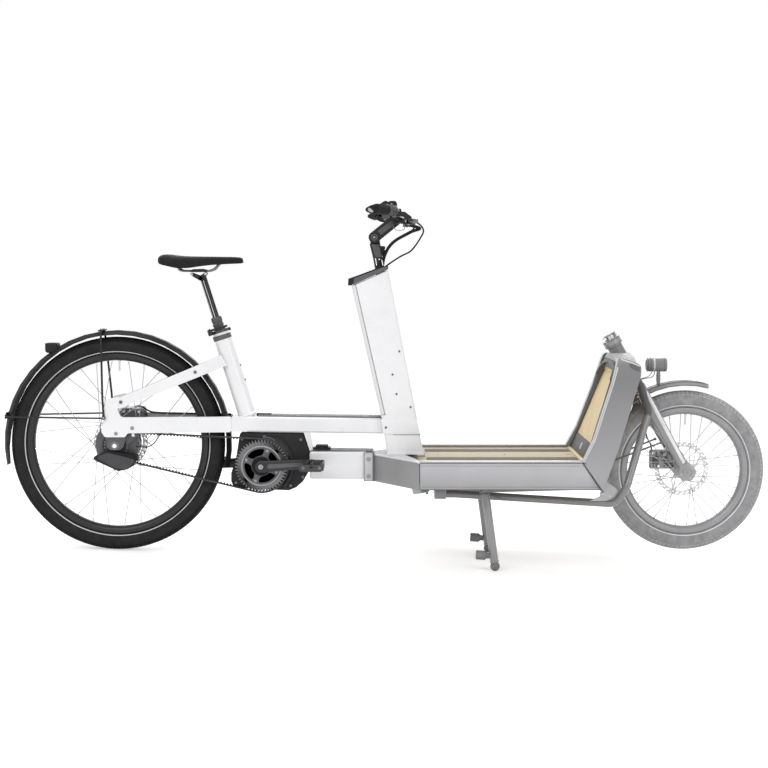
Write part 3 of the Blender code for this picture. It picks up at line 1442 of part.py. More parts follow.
mitre_top = (0.6285, DECK_TOP)
mitre_bottom = (0.6905, DECK_BOTTOM)
rail_start = DECK_REAR_X + corner_depth + GAP
rail_outline = [
    (rail_start, DECK_TOP),
    (rail_start, DECK_BOTTOM),
    (mitre_bottom[0] - GAP, DECK_BOTTOM),
    (mitre_top[0] - GAP, DECK_TOP),
]
groove_depth = 0.0015
for side in (RIGHT_SIDE, LEFT_SIDE):
    rail_shape = softened(prism(rail_outline, rail_inner, DECK_HALF_WIDTH), 0.003)
    grooves = []
    for height in (DECK_TOP - 0.012, DECK_BOTTOM + 0.010):
        groove = block(
            (0.0, DECK_HALF_WIDTH - groove_depth, height - 0.001),
            (0.8, DECK_HALF_WIDTH + 0.01, height + 0.001),
        )
        grooves.append(groove)
    shapes = [on_side(shape, side) for shape in (rail_shape, *grooves)]
    piece(f"{side_name(side)}_side_rail", SIDE_PAINT, bike, shapes[:1], shapes[1:])

post_outline = [
    mitre_top,
    mitre_bottom,
    (0.7410, 0.361),
    (0.8060, 0.560),
    *rounded([(0.8160, 0.590), (0.8190, 0.626), (0.7900, 0.638)], 0.020, 2, closed=False),
    (0.7460, 0.652),
    (0.7410, 0.625),
    (0.7260, 0.571),
    (0.6640, 0.390),
]


def post_inner(z):
    """How far the post's inner face is from the middle plane at a height."""
    return DECK_HALF_WIDTH - POST_THICKNESS - POST_INWARD * (z - DECK_TOP)


for side in (RIGHT_SIDE, LEFT_SIDE):
    post_shape = softened(prism(post_outline, DECK_HALF_WIDTH - POST_THICKNESS, DECK_HALF_WIDTH), 0.003)
    post_shape = cut_across(post_shape, [DECK_TOP], UP)
    post_shape = bent(post_shape, lambda spot: -POST_INWARD * max(0.0, spot.z - DECK_TOP))
    piece(f"{side_name(side)}_front_post", GREY_PAINT, bike, [on_side(post_shape, side)])

WALL_FOOT = FLOOR_TOP - FLOOR_THICKNESS
WALL_FOOT_X = 0.647
wall_top = 0.5995


def wall_rear_x(z):
    return WALL_FOOT_X + (z - FLOOR_TOP) * WALL_LEAN


wall_side = [
    (rail_inner - GAP, WALL_FOOT),
    (rail_inner - GAP, DECK_TOP - 0.002),
    (post_inner(DECK_TOP) - GAP, DECK_TOP),
    (post_inner(wall_top) - GAP, wall_top),
]
wall_outline = [(-half, z) for half, z in wall_side] + [(half, z) for half, z in reversed(wall_side)]
wall_shape = prism(wall_outline, 0, WALL_THICKNESS, "YZ")
for vert in wall_shape.verts:
    vert.co.x += wall_rear_x(vert.co.z)
piece("front_wall", WOOD, bike, [wall_shape])

floor_rear_inner = 0.066
floor_outline = [
    (SPINE_FRONT_X + GAP, 0),
    (SPINE_FRONT_X + GAP, CORNER_INNER_Y + 0.008 + GAP),
    (floor_rear_inner, CORNER_INNER_Y + 0.008 + GAP),
    (DECK_REAR_X + corner_depth + 0.002, rail_inner - GAP),
    (WALL_FOOT_X - GAP, rail_inner - GAP),
]
floor_outline += [(x, -y) for x, y in reversed(floor_outline[1:])]
floor_shape = prism(floor_outline, FLOOR_TOP - FLOOR_THICKNESS, FLOOR_TOP, "XY")
for vert in floor_shape.verts:
    vert.co.x = min(vert.co.x, wall_rear_x(vert.co.z) - GAP)
piece("deck_floor", WOOD, bike, [softened(floor_shape, 0.001)])

STAND_TUBE_RADIUS = 0.010
LUG_Y = 0.130
cross_member = block(
    (STAND_PIVOT.x - 0.030, -rail_inner + GAP, DECK_BOTTOM + 0.012),
    (STAND_PIVOT.x + 0.030, rail_inner - GAP, UNDER_FLOOR),
)
lug_shapes = []
for side in (-1, 1):
    lug_outline = rounded(
        [
            (STAND_PIVOT.x - 0.022, DECK_BOTTOM + 0.016),
            (STAND_PIVOT.x - 0.014, STAND_PIVOT.z - 0.014),
            (STAND_PIVOT.x + 0.014, STAND_PIVOT.z - 0.014),
            (STAND_PIVOT.x + 0.022, DECK_BOTTOM + 0.016),
        ],
        0.008, 1,
    )
    lug_shapes.append(prism(lug_outline, side * LUG_Y - 0.004, side * LUG_Y + 0.004))
pivot_hole = rod(
    STAND_PIVOT - LEFT * 0.3, STAND_PIVOT + LEFT * 0.3, turning_bore(STAND_TUBE_RADIUS, 12), 12
)
piece("stand_bracket", GREY_PAINT, bike, [cross_member, *lug_shapes], [pivot_hole])

stand_joint = joint_at("stand_axis", STAND_PIVOT)
stand_shapes = [
    rod(STAND_PIVOT - LEFT * STAND_HALF_WIDTH, STAND_PIVOT + LEFT * STAND_HALF_WIDTH, STAND_TUBE_RADIUS, 12)
]
for side in (-1, 1):
    sideways = LEFT * side * STAND_HALF_WIDTH
    foot = STAND_FOOT + sideways
    stand_shapes.append(rod(STAND_PIVOT + sideways + UP * 0.006, foot + UP * 0.012, STAND_LEG_RADIUS, 10))
    ball = bmesh.new()
    bmesh.ops.create_uvsphere(ball, u_segments=10, v_segments=6, radius=FOOT_RADIUS)
    tip = Matrix.Rotation(NOSE_UP, 4, "Y")
    bmesh.ops.transform(ball, matrix=Matrix.Translation(foot) @ tip, verts=ball.verts)
    stand_shapes.append(ball)
    peg = foot + UP * 0.044 + Vector((-0.004, 0, 0))
    stand_shapes.append(rod(peg, peg + Vector((-0.050, 0, 0.006)), 0.0125, 8))
piece("stand", GREY_METAL, stand_joint, stand_shapes)


# Head tube, lower tubes and fork

def head_point(distance):
    """A point on the steering axis, measured up from the front axle."""
    return FRONT_AXLE + HEAD_AXIS * distance


head_length = HEAD_TUBE_TOP - HEAD_TUBE_BOTTOM
head_shape = turned(
    [
        (STEERER_RADIUS + GAP, 0),
        (HEAD_TUBE_RADIUS, 0),
        (HEAD_TUBE_RADIUS, head_length),
        (STEERER_RADIUS + GAP, head_length),
    ],
    20, head_point(HEAD_TUBE_BOTTOM), HEAD_AXIS,
)
piece("head_tube", GREY_PAINT, bike, [head_shape])


def lower_tube(radius, side):
    """The tube from the middle of the deck, out round the front wheel and up to the head tube."""
    route = rounded(
        [
            (TUBE_BLOCK_FRONT + GAP, 0.047, 0.191),
            (0.235, 0.047, 0.191),
            (0.741, 0.208, 0.182),
            (0.776, 0.212, 0.240),
            (0.856, 0.118, 0.468),
            (0.832, 0.097, 0.557),
            head_point(0.387) + Vector((0, 0.010, 0)),
        ],
        0.045, 2, closed=False,
    )
    return on_side(pipe(route, radius, 2), side)


arch = [(post_inner(0.622) - GAP, 0.622), (0.100, 0.646), (0.040, 0.655)]
arch.insert(0, (post_inner(wall_top + GAP) - GAP, wall_top + GAP))
cover_outline = [(-y, z) for y, z in arch] + [(y, z) for y, z in reversed(arch)]
cover_block = softened(prism(cover_outline, 0.747, 0.812, "YZ"), 0.003)
head_hole = rod(head_point(0.2), head_point(0.6), HEAD_TUBE_RADIUS + GAP, 20)
tube_holes = [lower_tube(LOWER_TUBE_RADIUS + GAP, side) for side in (RIGHT_SIDE, LEFT_SIDE)]
piece("top_cover", LIGHT_COVER, bike, [cover_block], [head_hole, *tube_holes])

for side in (RIGHT_SIDE, LEFT_SIDE):
    gusset_outline = [
        (0.655, 0.190),
        (0.690, 0.205),
        (0.693, DECK_BOTTOM - 0.0008),
        (0.706, DECK_BOTTOM + 0.024),
        (0.740, 0.233),
        (0.752, 0.215),
        (0.735, 0.192),
    ]
    gusset = on_side(prism(gusset_outline, 0.200, 0.206), side)
    head_clear = rod(
        head_point(HEAD_TUBE_BOTTOM - 0.01), head_point(HEAD_TUBE_TOP), HEAD_TUBE_RADIUS + GAP, 20
    )
    piece(
        f"{side_name(side)}_lower_tube", GREY_METAL, bike,
        [lower_tube(LOWER_TUBE_RADIUS, side), gusset], [head_clear],
    )

steering_head = joint_at("fork_axis", head_point(0.30))
CROWN_BOTTOM = FRONT_GUARD_RADIUS + 0.0025
CROWN_TOP = CROWN_BOTTOM + 0.0335
turn_to_head = Matrix.Rotation(-HEAD_ANGLE, 4, "Y")


def along_head(shape):
    """Tips a shape that was drawn upright above the front axle onto the steering axis."""
    bmesh.ops.transform(shape, matrix=Matrix.Translation(FRONT_AXLE) @ turn_to_head, verts=shape.verts)
    return shape


crown = softened(
    block((-0.020, -FORK_INNER - FORK_LEG, CROWN_BOTTOM), (0.020, FORK_INNER + FORK_LEG, CROWN_TOP)), 0.006
)
fork_shapes = [
    along_head(crown),
    rod(head_point(CROWN_TOP - 0.01), head_point(0.530), STEERER_RADIUS, 12),
]
leg_outline = [
    (-0.0145, 0.012),
    (0.0145, 0.012),
    (LEG_HALF_DEPTH, 0.200),
    (LEG_HALF_DEPTH, CROWN_BOTTOM + 0.012),
    (-LEG_HALF_DEPTH, CROWN_BOTTOM + 0.012),
    (-LEG_HALF_DEPTH, 0.200),
]
for side in (-1, 1):
    inner, outer = sorted((side * FORK_INNER, side * (FORK_INNER + FORK_LEG)))
    leg = softened(prism(leg_outline, inner, outer), 0.005, longer_than=0.09)
    fork_shapes.append(along_head(leg))
    fork_shapes.append(
        rod(FRONT_AXLE + LEFT * side * (FORK_INNER + 0.001), FRONT_AXLE + LEFT * side * (FORK_INNER + 0.016),
            0.024, 10)
    )
fork_shapes.append(
    rod(FRONT_AXLE - LEFT * (FORK_INNER + 0.024), FRONT_AXLE + LEFT * (FORK_INNER + 0.024), AXLE_RADIUS, 10)
)
caliper = softened(block((0.887, FRONT_FLANGE_Y + 0.0065, 0.264), (0.964, 0.0540, 0.328)), 0.004)
drum = turned(
    [(0, 0), (0.030, 0), (0.030, 0.024), (0.022, 0.026), (0.022, 0.056), (0, 0.056)],
    14, head_point(HEAD_TUBE_TOP + RUNNING_GAP), HEAD_AXIS,
)
fork_shapes += [caliper, drum]
rotor_middle = FRONT_ROTOR_Y + ROTOR_THICKNESS / 2
caliper_slot = turned(
    [
        (0.01, -ROTOR_THICKNESS / 2 - 0.0008),
        (ROTOR_RADIUS + 0.004, -ROTOR_THICKNESS / 2 - 0.0008),
        (ROTOR_RADIUS + 0.004, ROTOR_THICKNESS / 2 + 0.0008),
        (0.01, ROTOR_THICKNESS / 2 + 0.0008),
    ],
    24, FRONT_AXLE + LEFT * rotor_middle,
)
piece("fork", GREY_METAL, steering_head, fork_shapes, [caliper_slot])


# Mudguards, stays and lights

def mudguard(axle, radius, half_width, start, end, steps, wall=0.002):
    """A thin arched strip swept round the wheel from the start angle to the end angle."""
    drop = 0.012
    section = []
    for share, fall in ((-1, drop), (-0.5, 0), (0.5, 0), (1, drop)):
        section.append((radius - fall, half_width * share))
    for share, fall in ((1, drop), (0.5, 0), (-0.5, 0), (-1, drop)):
        section.append((radius - wall - fall, half_width * share * 0.97))
    shape = bmesh.new()
    verts = [shape.verts.new((r * math.cos(start), y, r * math.sin(start))) for r, y in section]
    face = shape.faces.new(verts)
    bmesh.ops.spin(
        shape, geom=[face], cent=(0, 0, 0), axis=-LEFT, angle=end - start, steps=steps, use_duplicate=False
    )
    bmesh.ops.translate(shape, vec=axle, verts=shape.verts)
    return closed_up(shape)


def rear_guard(clearance=0.0, **more):
    radius = REAR_GUARD_RADIUS + clearance
    return mudguard(REAR_AXLE, radius, REAR_GUARD_HALF, math.radians(-12), math.radians(191), 24, **more)


def front_guard(clearance=0.0, **more):
    radius = FRONT_GUARD_RADIUS + clearance
    return mudguard(FRONT_AXLE, radius, REAR_GUARD_HALF, math.radians(75), math.radians(181), 12, **more)


piece("rear_mudguard", BLACK_PLASTIC, bike, [rear_guard()])
WIRE_RADIUS = 0.0018


def guard_stay(axle, guard_radius, angle, foot, spread, straight):
    """One wire: up from its left foot, over the guard and down to its right foot."""
    reach = guard_radius + GAP + WIRE_RADIUS
    crown = around(axle, reach, angle, spread - 0.006)
    shoulder = around(axle, reach - 0.014, angle, spread)
    start = Vector(foot)
    along = Vector((shoulder.x - start.x, 0, shoulder.z - start.z)).normalized()
    half = [start, start + along * straight, shoulder, crown]
    other = [Vector((spot.x, -spot.y, spot.z)) for spot in reversed(half)]
    return rounded([*half, *other], 0.006, 1, closed=False)


EYE_THICKNESS = 0.004
EYE_RADIUS = 0.006
STAY_FOOT = beside_axle((-0.033, 0.092))[0]
REAR_STAYS = (("rear_upper_stay", 97.5, 0.066), ("rear_lower_stay", 165.6, 0.030))
for number, (name, degrees, straight) in enumerate(REAR_STAYS):
    eye_start = STAY_PLATE_OUTER + GAP + number * (EYE_THICKNESS + GAP)
    foot = (STAY_FOOT[0], eye_start + EYE_THICKNESS / 2, STAY_FOOT[1])
    route = guard_stay(
        REAR_AXLE, REAR_GUARD_RADIUS, math.radians(degrees), foot, REAR_GUARD_HALF + 0.006, straight
    )
    eyes = []
    for side in (RIGHT_SIDE, LEFT_SIDE):
        eye = rod(
            (foot[0], eye_start, foot[2]), (foot[0], eye_start + EYE_THICKNESS, foot[2]), EYE_RADIUS, 8
        )
        eyes.append(on_side(eye, side))
    piece(name, DARK_METAL, bike, [pipe(route, WIRE_RADIUS, 1), *eyes])

FRONT_STAY_FOOT = head_point(0.125) - Vector((0.024, -FORK_INNER - FORK_LEG / 2, 0.012))
front_stay_route = guard_stay(
    FRONT_AXLE, FRONT_GUARD_RADIUS - 0.001 - GAP, math.radians(176),
    FRONT_STAY_FOOT, REAR_GUARD_HALF + 0.006, 0.012,
)
mount_low = (-0.016, -0.012, FRONT_GUARD_RADIUS - 0.010)
guard_mount = along_head(block(mount_low, (0.016, 0.012, CROWN_BOTTOM - GAP)))
stay_clear = []
for side in (-1, 1):
    leg_y = side * (FORK_INNER + FORK_LEG / 2)
    clear_x = LEG_HALF_DEPTH + GAP
    clear_y = FORK_LEG / 2 + GAP
    clear = block((-clear_x, leg_y - clear_y, 0.01), (clear_x, leg_y + clear_y, CROWN_BOTTOM))
    stay_clear.append(along_head(clear))
piece(
    "front_mudguard", BLACK_PLASTIC, steering_head,
    [front_guard(), pipe(front_stay_route, WIRE_RADIUS, 1), guard_mount], stay_clear,
)

LAMP_CENTRE = Vector((0.900, 0, 0.6145))
lamp_shell = turned(
    [
        (0, -0.034),
        (0.017, -0.034),
        (0.0215, -0.027),
        (0.0225, 0.026),
        (0.0215, 0.033),
        (0.019, 0.033),
        (0.018, 0.029),
        (0, 0.029),
    ],
    16, LAMP_CENTRE, Vector((1, 0, 0)),
)
lamp_foot_angle = math.radians(107)
lamp_foot = around(FRONT_AXLE, FRONT_GUARD_RADIUS + GAP, lamp_foot_angle)
lamp_post = block((lamp_foot.x - 0.005, -0.008, lamp_foot.z - 0.010), (lamp_foot.x + 0.005, 0.008, 0.600))
piece("headlamp", DARK_METAL, steering_head, [lamp_shell, lamp_post], [front_guard(GAP, wall=0.03)])

rear_light_angle = math.radians(124)
light_middle = around(REAR_AXLE, REAR_GUARD_RADIUS + 0.010, rear_light_angle)
light_body = softened(
    block((light_middle.x - 0.018, -0.026, light_middle.z - 0.018),
          (light_middle.x + 0.022, 0.026, light_middle.z + 0.014)), 0.004
)
piece("rear_light", BLACK_PLASTIC, bike, [light_body], [rear_guard(GAP, wall=0.03)])


# Hoses

hose_route = smooth_route(
    [
        (0.0620, -0.0892, 1.1000),
        (0.0612, -0.0800, 1.1004),
        (0.0700, -0.0680, 1.0900),
        (0.0780, -0.0560, 1.0640),
        (0.0640, -0.0400, 1.0420),
        (0.036, -0.026, 1.020),
        (0.014, -0.024, 0.999),
        (0.003, -0.024, 0.972),
        (0.0015, -0.024, 0.9396),
    ],
    0.016,
)
cord("control_hoses", GRIP_RUBBER, bike, hose_route, 0.004)
leg_back = Vector((-math.cos(HEAD_ANGLE), 0, -math.sin(HEAD_ANGLE)))
hose_port = head_point(0.205) + LEFT * (FORK_INNER + FORK_LEG / 2) + leg_back * (LEG_HALF_DEPTH + 0.0005)
brake_route = smooth_route(
    [
        (0.896, 0.0455, 0.3290),
        (0.892, 0.0460, 0.345),
        (0.878, 0.0510, 0.372),
        hose_port + leg_back * 0.010,
        hose_port,
    ],
    0.015,
)
cord("front_brake_hose", GRIP_RUBBER, steering_head, brake_route, 0.0025)


# Nose up onto the stand, then the middle of the whole box over the origin

def world_box():
    graph = bpy.context.evaluated_depsgraph_get()
    spots = []
    for made in bpy.context.scene.objects:
        if made.type == "EMPTY" or made.hide_render:
            continue
        solid = made.evaluated_get(graph)
        spots += [solid.matrix_world @ vert.co for vert in solid.to_mesh().vertices]
        solid.to_mesh_clear()
    low = Vector(min(spot[axis] for spot in spots) for axis in range(3))
    high = Vector(max(spot[axis] for spot in spots) for axis in range(3))
    return low, high


bike.rotation_euler = (0, -NOSE_UP, 0)
bpy.context.view_layer.update()
box_low, box_high = world_box()
middle = (box_low + box_high) / 2
bike.location = (-middle.x, -middle.y, -box_low.z)
bpy.context.view_layer.update()
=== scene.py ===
"""The look of a front-loading electric cargo bicycle with a wooden deck and a belt drive.

New pieces are drawn with the bicycle level, +X forwards and the rider's right at -Y, and are then tipped nose
up onto its stand, as the solids are. Vectors are metres. What is typed for new pieces is millimetres.
"""

import json
import math
from functools import partial

import bmesh
import bpy
from mathutils import Matrix, Vector

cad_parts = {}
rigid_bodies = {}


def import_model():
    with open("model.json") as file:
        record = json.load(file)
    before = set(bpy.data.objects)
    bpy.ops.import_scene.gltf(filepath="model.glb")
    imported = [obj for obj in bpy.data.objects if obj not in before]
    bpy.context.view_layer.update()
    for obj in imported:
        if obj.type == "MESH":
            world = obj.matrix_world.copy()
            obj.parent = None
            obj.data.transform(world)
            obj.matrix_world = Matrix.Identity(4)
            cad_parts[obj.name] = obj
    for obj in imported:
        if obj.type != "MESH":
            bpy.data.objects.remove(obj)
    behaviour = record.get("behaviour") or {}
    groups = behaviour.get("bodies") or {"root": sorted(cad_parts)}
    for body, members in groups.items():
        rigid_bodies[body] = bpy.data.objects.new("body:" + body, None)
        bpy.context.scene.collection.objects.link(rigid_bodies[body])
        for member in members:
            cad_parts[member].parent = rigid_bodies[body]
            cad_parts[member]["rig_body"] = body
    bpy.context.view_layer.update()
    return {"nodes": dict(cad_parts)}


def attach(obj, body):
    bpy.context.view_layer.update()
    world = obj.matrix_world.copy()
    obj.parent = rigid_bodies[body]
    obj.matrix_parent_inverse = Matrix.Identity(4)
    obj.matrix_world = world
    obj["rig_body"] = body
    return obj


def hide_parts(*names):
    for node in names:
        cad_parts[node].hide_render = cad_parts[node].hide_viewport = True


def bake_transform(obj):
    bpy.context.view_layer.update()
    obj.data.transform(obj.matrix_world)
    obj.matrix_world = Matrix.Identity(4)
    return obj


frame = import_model()
nodes = frame["nodes"]

NOSE_UP = math.radians(1.933360)
stand_up = Matrix.Translation((0.008021, 0, 0.029890)) @ Matrix.Rotation(-NOSE_UP, 4, "Y")
level_again = stand_up.inverted()
AHEAD = Vector((1, 0, 0))
LEFT = Vector((0, 1, 0))
UP = Vector((0, 0, 1))
SIDES = (("right", -1), ("left", 1))

REAR_AXLE = Vector((-0.880, 0, 0.354))
FRONT_AXLE = Vector((0.994, 0, 0.265))
CRANK_AXIS = Vector((-0.403, 0, 0.285))
HEAD_ANGLE = math.radians(29.5)
HEAD_AXIS = Vector((-math.sin(HEAD_ANGLE), 0, math.cos(HEAD_ANGLE)))
HEAD_FORWARD = Vector((math.cos(HEAD_ANGLE), 0, math.sin(HEAD_ANGLE)))
COLUMN_LEAN = math.radians(10.5)
COLUMN_AXIS = Vector((-math.sin(COLUMN_LEAN), 0, math.cos(COLUMN_LEAN)))
COLUMN_TOP = Vector((-0.015, 0, 0.937))
STEM_PIVOT = Vector((-0.032, 0, 1.034))
BAR_CENTRE = Vector((0.044, 0, 1.095))


# Camera, light and floor

CAMERA_PLACE = (0, -5.3, 0.94)
CAMERA_PITCH = math.radians(4.2)
scene = bpy.context.scene


def shown(name, data):
    made = bpy.data.objects.new(name, data)
    scene.collection.objects.link(made)
    return made


camera_data = bpy.data.cameras.new("camera")
camera_data.lens = 75.3
camera_data.sensor_width = 36
camera = shown("camera", camera_data)
level_camera = Matrix.Translation(CAMERA_PLACE) @ Matrix.Rotation(math.pi / 2 - CAMERA_PITCH, 4, "X")
camera.matrix_world = stand_up @ level_camera
scene.camera = camera
scene.view_settings.view_transform = "Standard"

for name, place, target, size, power in (
    ("key_light", (-2.2, -3.6, 3.6), (0, 0, 0.4), (2.4, 1.6), 62),
    ("fill_light", (3.0, -3.0, 2.0), (0.2, 0, 0.5), (2.0, 2.0), 26),
    ("top_light", (0, 0.4, 4.2), (0, 0, 0), (4.0, 1.6), 44),
    ("back_light", (0.5, 3.8, 2.4), (0, 0, 0.5), (3.0, 1.5), 40),
):
    lamp = bpy.data.lights.new(name, "AREA")
    lamp.shape = "RECTANGLE"
    lamp.size, lamp.size_y = size
    lamp.energy = power
    light = shown(name, lamp)
    light.location = place
    light.rotation_euler = (Vector(target) - Vector(place)).to_track_quat("-Z", "Y").to_euler()


def seen_directly(tree):
    """1 for rays that show the background: from the camera, in a gloss or through glass."""
    rays = tree.nodes.new("ShaderNodeLightPath")
    total = rays.outputs["Is Camera Ray"]
    for kind in ("Is Glossy Ray", "Is Transmission Ray"):
        both = tree.nodes.new("ShaderNodeMath")
        both.operation = "MAXIMUM"
        tree.links.new(total, both.inputs[0])
        tree.links.new(rays.outputs[kind], both.inputs[1])
        total = both.outputs[0]
    return total


AMBIENT = 0.70
FLOOR_GLOW = 0.36

world = bpy.data.worlds.new("studio")
world.use_nodes = True
scene.world = world
tree = world.node_tree
backdrop = tree.nodes["Background"]
backdrop.inputs["Color"].default_value = (1, 1, 1, 1)
level = tree.nodes.new("ShaderNodeMapRange")
level.inputs["To Min"].default_value = AMBIENT
level.inputs["To Max"].default_value = 1.0
tree.links.new(seen_directly(tree), level.inputs["Value"])
tree.links.new(level.outputs[0], backdrop.inputs["Strength"])

floor_shape = bmesh.new()
bmesh.ops.create_grid(floor_shape, x_segments=1, y_segments=1, size=14)
floor_mesh = bpy.data.meshes.new("studio_floor")
floor_shape.to_mesh(floor_mesh)
floor_shape.free()
floor_look = bpy.data.materials.new("studio_floor")
floor_look.use_nodes = True
tree = floor_look.node_tree
surface = tree.nodes["Principled BSDF"].inputs
for socket, value in (("Base Color", (0.93, 0.93, 0.93, 1)), ("Roughness", 1.0), ("Specular IOR Level", 0.0),
                      ("Emission Color", (1, 1, 1, 1))):
    surface[socket].default_value = value
glow = tree.nodes.new("ShaderNodeMath")
glow.operation = "MULTIPLY"
glow.inputs[1].default_value = FLOOR_GLOW
tree.links.new(seen_directly(tree), glow.inputs[0])
tree.links.new(glow.outputs[0], surface["Emission Strength"])
floor_mesh.materials.append(floor_look)
floor = shown("studio_floor", floor_mesh)


# Finishes

class Finish:
    """A material whose nodes read the piece's own coordinates."""

    def __init__(self, name, colour, roughness, metallic=0.0):
        self.material = bpy.data.materials.new(name)
        self.material.use_nodes = True
        self.tree = self.material.node_tree
        self.surface = self.tree.nodes["Principled BSDF"].inputs
        self.set(base_color=(*colour, 1), roughness=roughness, metallic=metallic)
        self.where = self.tree.nodes.new("ShaderNodeTexCoord").outputs["Object"]

    def feed(self, value, socket):
        if isinstance(value, bpy.types.NodeSocket):
            self.tree.links.new(value, socket)
        else:
            socket.default_value = value

    def node(self, kind, inputs, **settings):
        made = self.tree.nodes.new("ShaderNode" + kind)
        for key, value in settings.items():
            setattr(made, key, value)
        for key, value in inputs.items():
            self.feed(value, made.inputs[key])
        return made

    def math(self, operation, first, second=0.0):
        return self.node("Math", {0: first, 1: second}, operation=operation).outputs[0]

    def stretched(self, scale, centre=(0, 0, 0)):
        """The coordinates moved to a centre and stretched."""
        moved = self.node("VectorMath", {0: self.where, 1: centre}, operation="SUBTRACT").outputs[0]
        return self.node("VectorMath", {0: moved, 1: scale}, operation="MULTIPLY").outputs[0]

    def noise(self, size, detail=3.0, coordinates=None, rough=0.5):
        settings = {"Vector": coordinates or self.where, "Scale": 1 / size, "Detail": detail, "Roughness": rough}
        return self.node("TexNoise", settings).outputs[0]

    def ramp(self, value, low, high, to_low=0.0, to_high=1.0):
        settings = {"Value": value, "From Min": low, "From Max": high, "To Min": to_low, "To Max": to_high}
        return self.node("MapRange", settings).outputs[0]

    def mix(self, share, *colours):
        made = self.node("Mix", {"Factor": share}, data_type="RGBA")
        for socket, colour in zip((6, 7), colours):
            self.feed((*colour, 1) if isinstance(colour, tuple) else colour, made.inputs[socket])
        return made.outputs[2]

    def raise_by(self, height, depth, strength):
        """Bumps the surface: a height of 1 stands out by depth."""
        last = self.surface["Normal"].links
        inputs = {"Height": height, "Distance": depth, "Strength": strength}
        if last:
            inputs["Normal"] = last[0].from_socket
        self.feed(self.node("Bump", inputs).outputs[0], self.surface["Normal"])

    def set(self, **values):
        for key, value in values.items():
            socket = "Specular IOR Level" if key == "specular" else key.replace("_", " ").title()
            self.feed(value, self.surface[socket])
        return self


def shade(colour, share):
    return tuple(min(1.0, channel * share) for channel in colour)


def painted(name, colour, roughness=0.34, coat=0.5, metallic=0.0):
    """Sprayed paint under lacquer: faint clouds, orange peel and a few dull smudges."""
    look = Finish(name, colour, roughness, metallic)
    clouds = look.mix(look.ramp(look.noise(0.11, 2.0), 0.3, 0.7), shade(colour, 0.97), shade(colour, 1.03))
    smudges = look.ramp(look.noise(0.045, 4.0), 0.35, 0.75, roughness - 0.05, roughness + 0.10)
    look.raise_by(look.noise(0.0028, 1.0), 0.00006, 0.5)
    return look.set(base_color=clouds, roughness=smudges, coat_weight=coat, coat_roughness=0.12).material


def graded(name, above, below, high, low, roughness):
    """A satin coat whose tone changes evenly between two heights; on the side rails, lighter at the top and darker
    below, this is painted shading.
    """
    look = Finish(name, above, roughness)
    height = look.node("SeparateXYZ", {0: look.where}).outputs["Z"]
    tone = look.mix(look.ramp(height, low, high), below, above)
    clouds = look.ramp(look.noise(0.09, 2.0), 0.3, 0.7, 0.0, 0.06)
    smudges = look.ramp(look.noise(0.04, 4.0), 0.35, 0.75, roughness - 0.05, roughness + 0.10)
    look.raise_by(look.noise(0.0024, 1.0), 0.00006, 0.5)
    return look.set(base_color=look.mix(clouds, tone, (0, 0, 0)), roughness=smudges, coat_weight=0.2,
                    coat_roughness=0.2).material


def moulded(name, colour, roughness=0.55, grain=0.0009, depth=0.00012, cloud=0.12):
    """Moulded plastic or a powder coat: an even leather grain, with rubbed and dusty places."""
    look = Finish(name, colour, roughness)
    dust = look.ramp(look.noise(0.06, 5.0, rough=0.6), 0.35, 0.75)
    rubbed = look.ramp(look.noise(0.03), 0.3, 0.7, roughness - 0.08, roughness + 0.10)
    pebbles = look.node("TexVoronoi", {"Vector": look.where, "Scale": 1 / grain}).outputs["Distance"]
    look.raise_by(pebbles, depth, 0.6)
    tone = look.mix(dust, shade(colour, 1 - cloud), shade(colour, 1 + cloud * 2))
    return look.set(base_color=tone, roughness=rubbed, specular=0.2).material


def metal(name, colour, roughness=0.32, metallic=1.0, along=(1, 1, 1)):
    """Machined or brushed metal: fine lines along one way, and a slight change of shine."""
    look = Finish(name, colour, roughness, metallic)
    lines = look.noise(0.0012, 2.0, look.stretched(along))
    worn = look.mix(look.ramp(look.noise(0.05, 4.0), 0.3, 0.7), shade(colour, 0.92), shade(colour, 1.06))
    look.raise_by(lines, 0.00003, 0.5)
    return look.set(base_color=worn, roughness=look.ramp(lines, 0.3, 0.7, roughness - 0.07,
                                                         roughness + 0.12)).material


def rubber(name, colour, roughness=0.78, grain=0.0016, depth=0.00012):
    """Rubber: dull, with a bloom of dust and a fine rough skin."""
    look = Finish(name, colour, roughness)
    bloom = look.mix(look.ramp(look.noise(0.035, 5.0, rough=0.65), 0.4, 0.8), colour, shade(colour, 1.5))
    skin = look.ramp(look.noise(0.02), 0.3, 0.7, roughness - 0.08, roughness + 0.08)
    look.raise_by(look.noise(grain), depth, 0.7)
    return look.set(base_color=bloom, roughness=skin, specular=0.16).material


def tyre_side(name, colour, axle, radius):
    """Tyre rubber with fine rings on its sides and short ribs towards its tread."""
    look = Finish(name, colour, 0.72)
    from_axle = look.stretched((1, 0, 1), tuple(stand_up @ axle))
    distance = look.node("VectorMath", {0: from_axle}, operation="LENGTH").outputs["Value"]
    split = look.node("SeparateXYZ", {0: from_axle})
    angle = look.math("ARCTAN2", split.outputs["Z"], split.outputs["X"])
    ribs = look.math("SINE", look.math("MULTIPLY", angle, 320.0))
    shoulder = look.ramp(distance, radius - 0.034, radius - 0.016)
    bloom = look.mix(look.ramp(look.noise(0.03, 5.0, rough=0.65), 0.35, 0.8), colour, shade(colour, 1.6))
    look.raise_by(look.math("SINE", look.math("MULTIPLY", distance, math.tau / 0.0042)), 0.00022, 0.5)
    look.raise_by(look.math("MULTIPLY", ribs, shoulder), 0.00035, 0.6)
    look.raise_by(look.noise(0.0012, 2.0), 0.0001, 0.5)
    skin = look.ramp(look.noise(0.02), 0.3, 0.7, 0.62, 0.82)
    return look.set(base_color=bloom, roughness=skin, specular=0.25).material


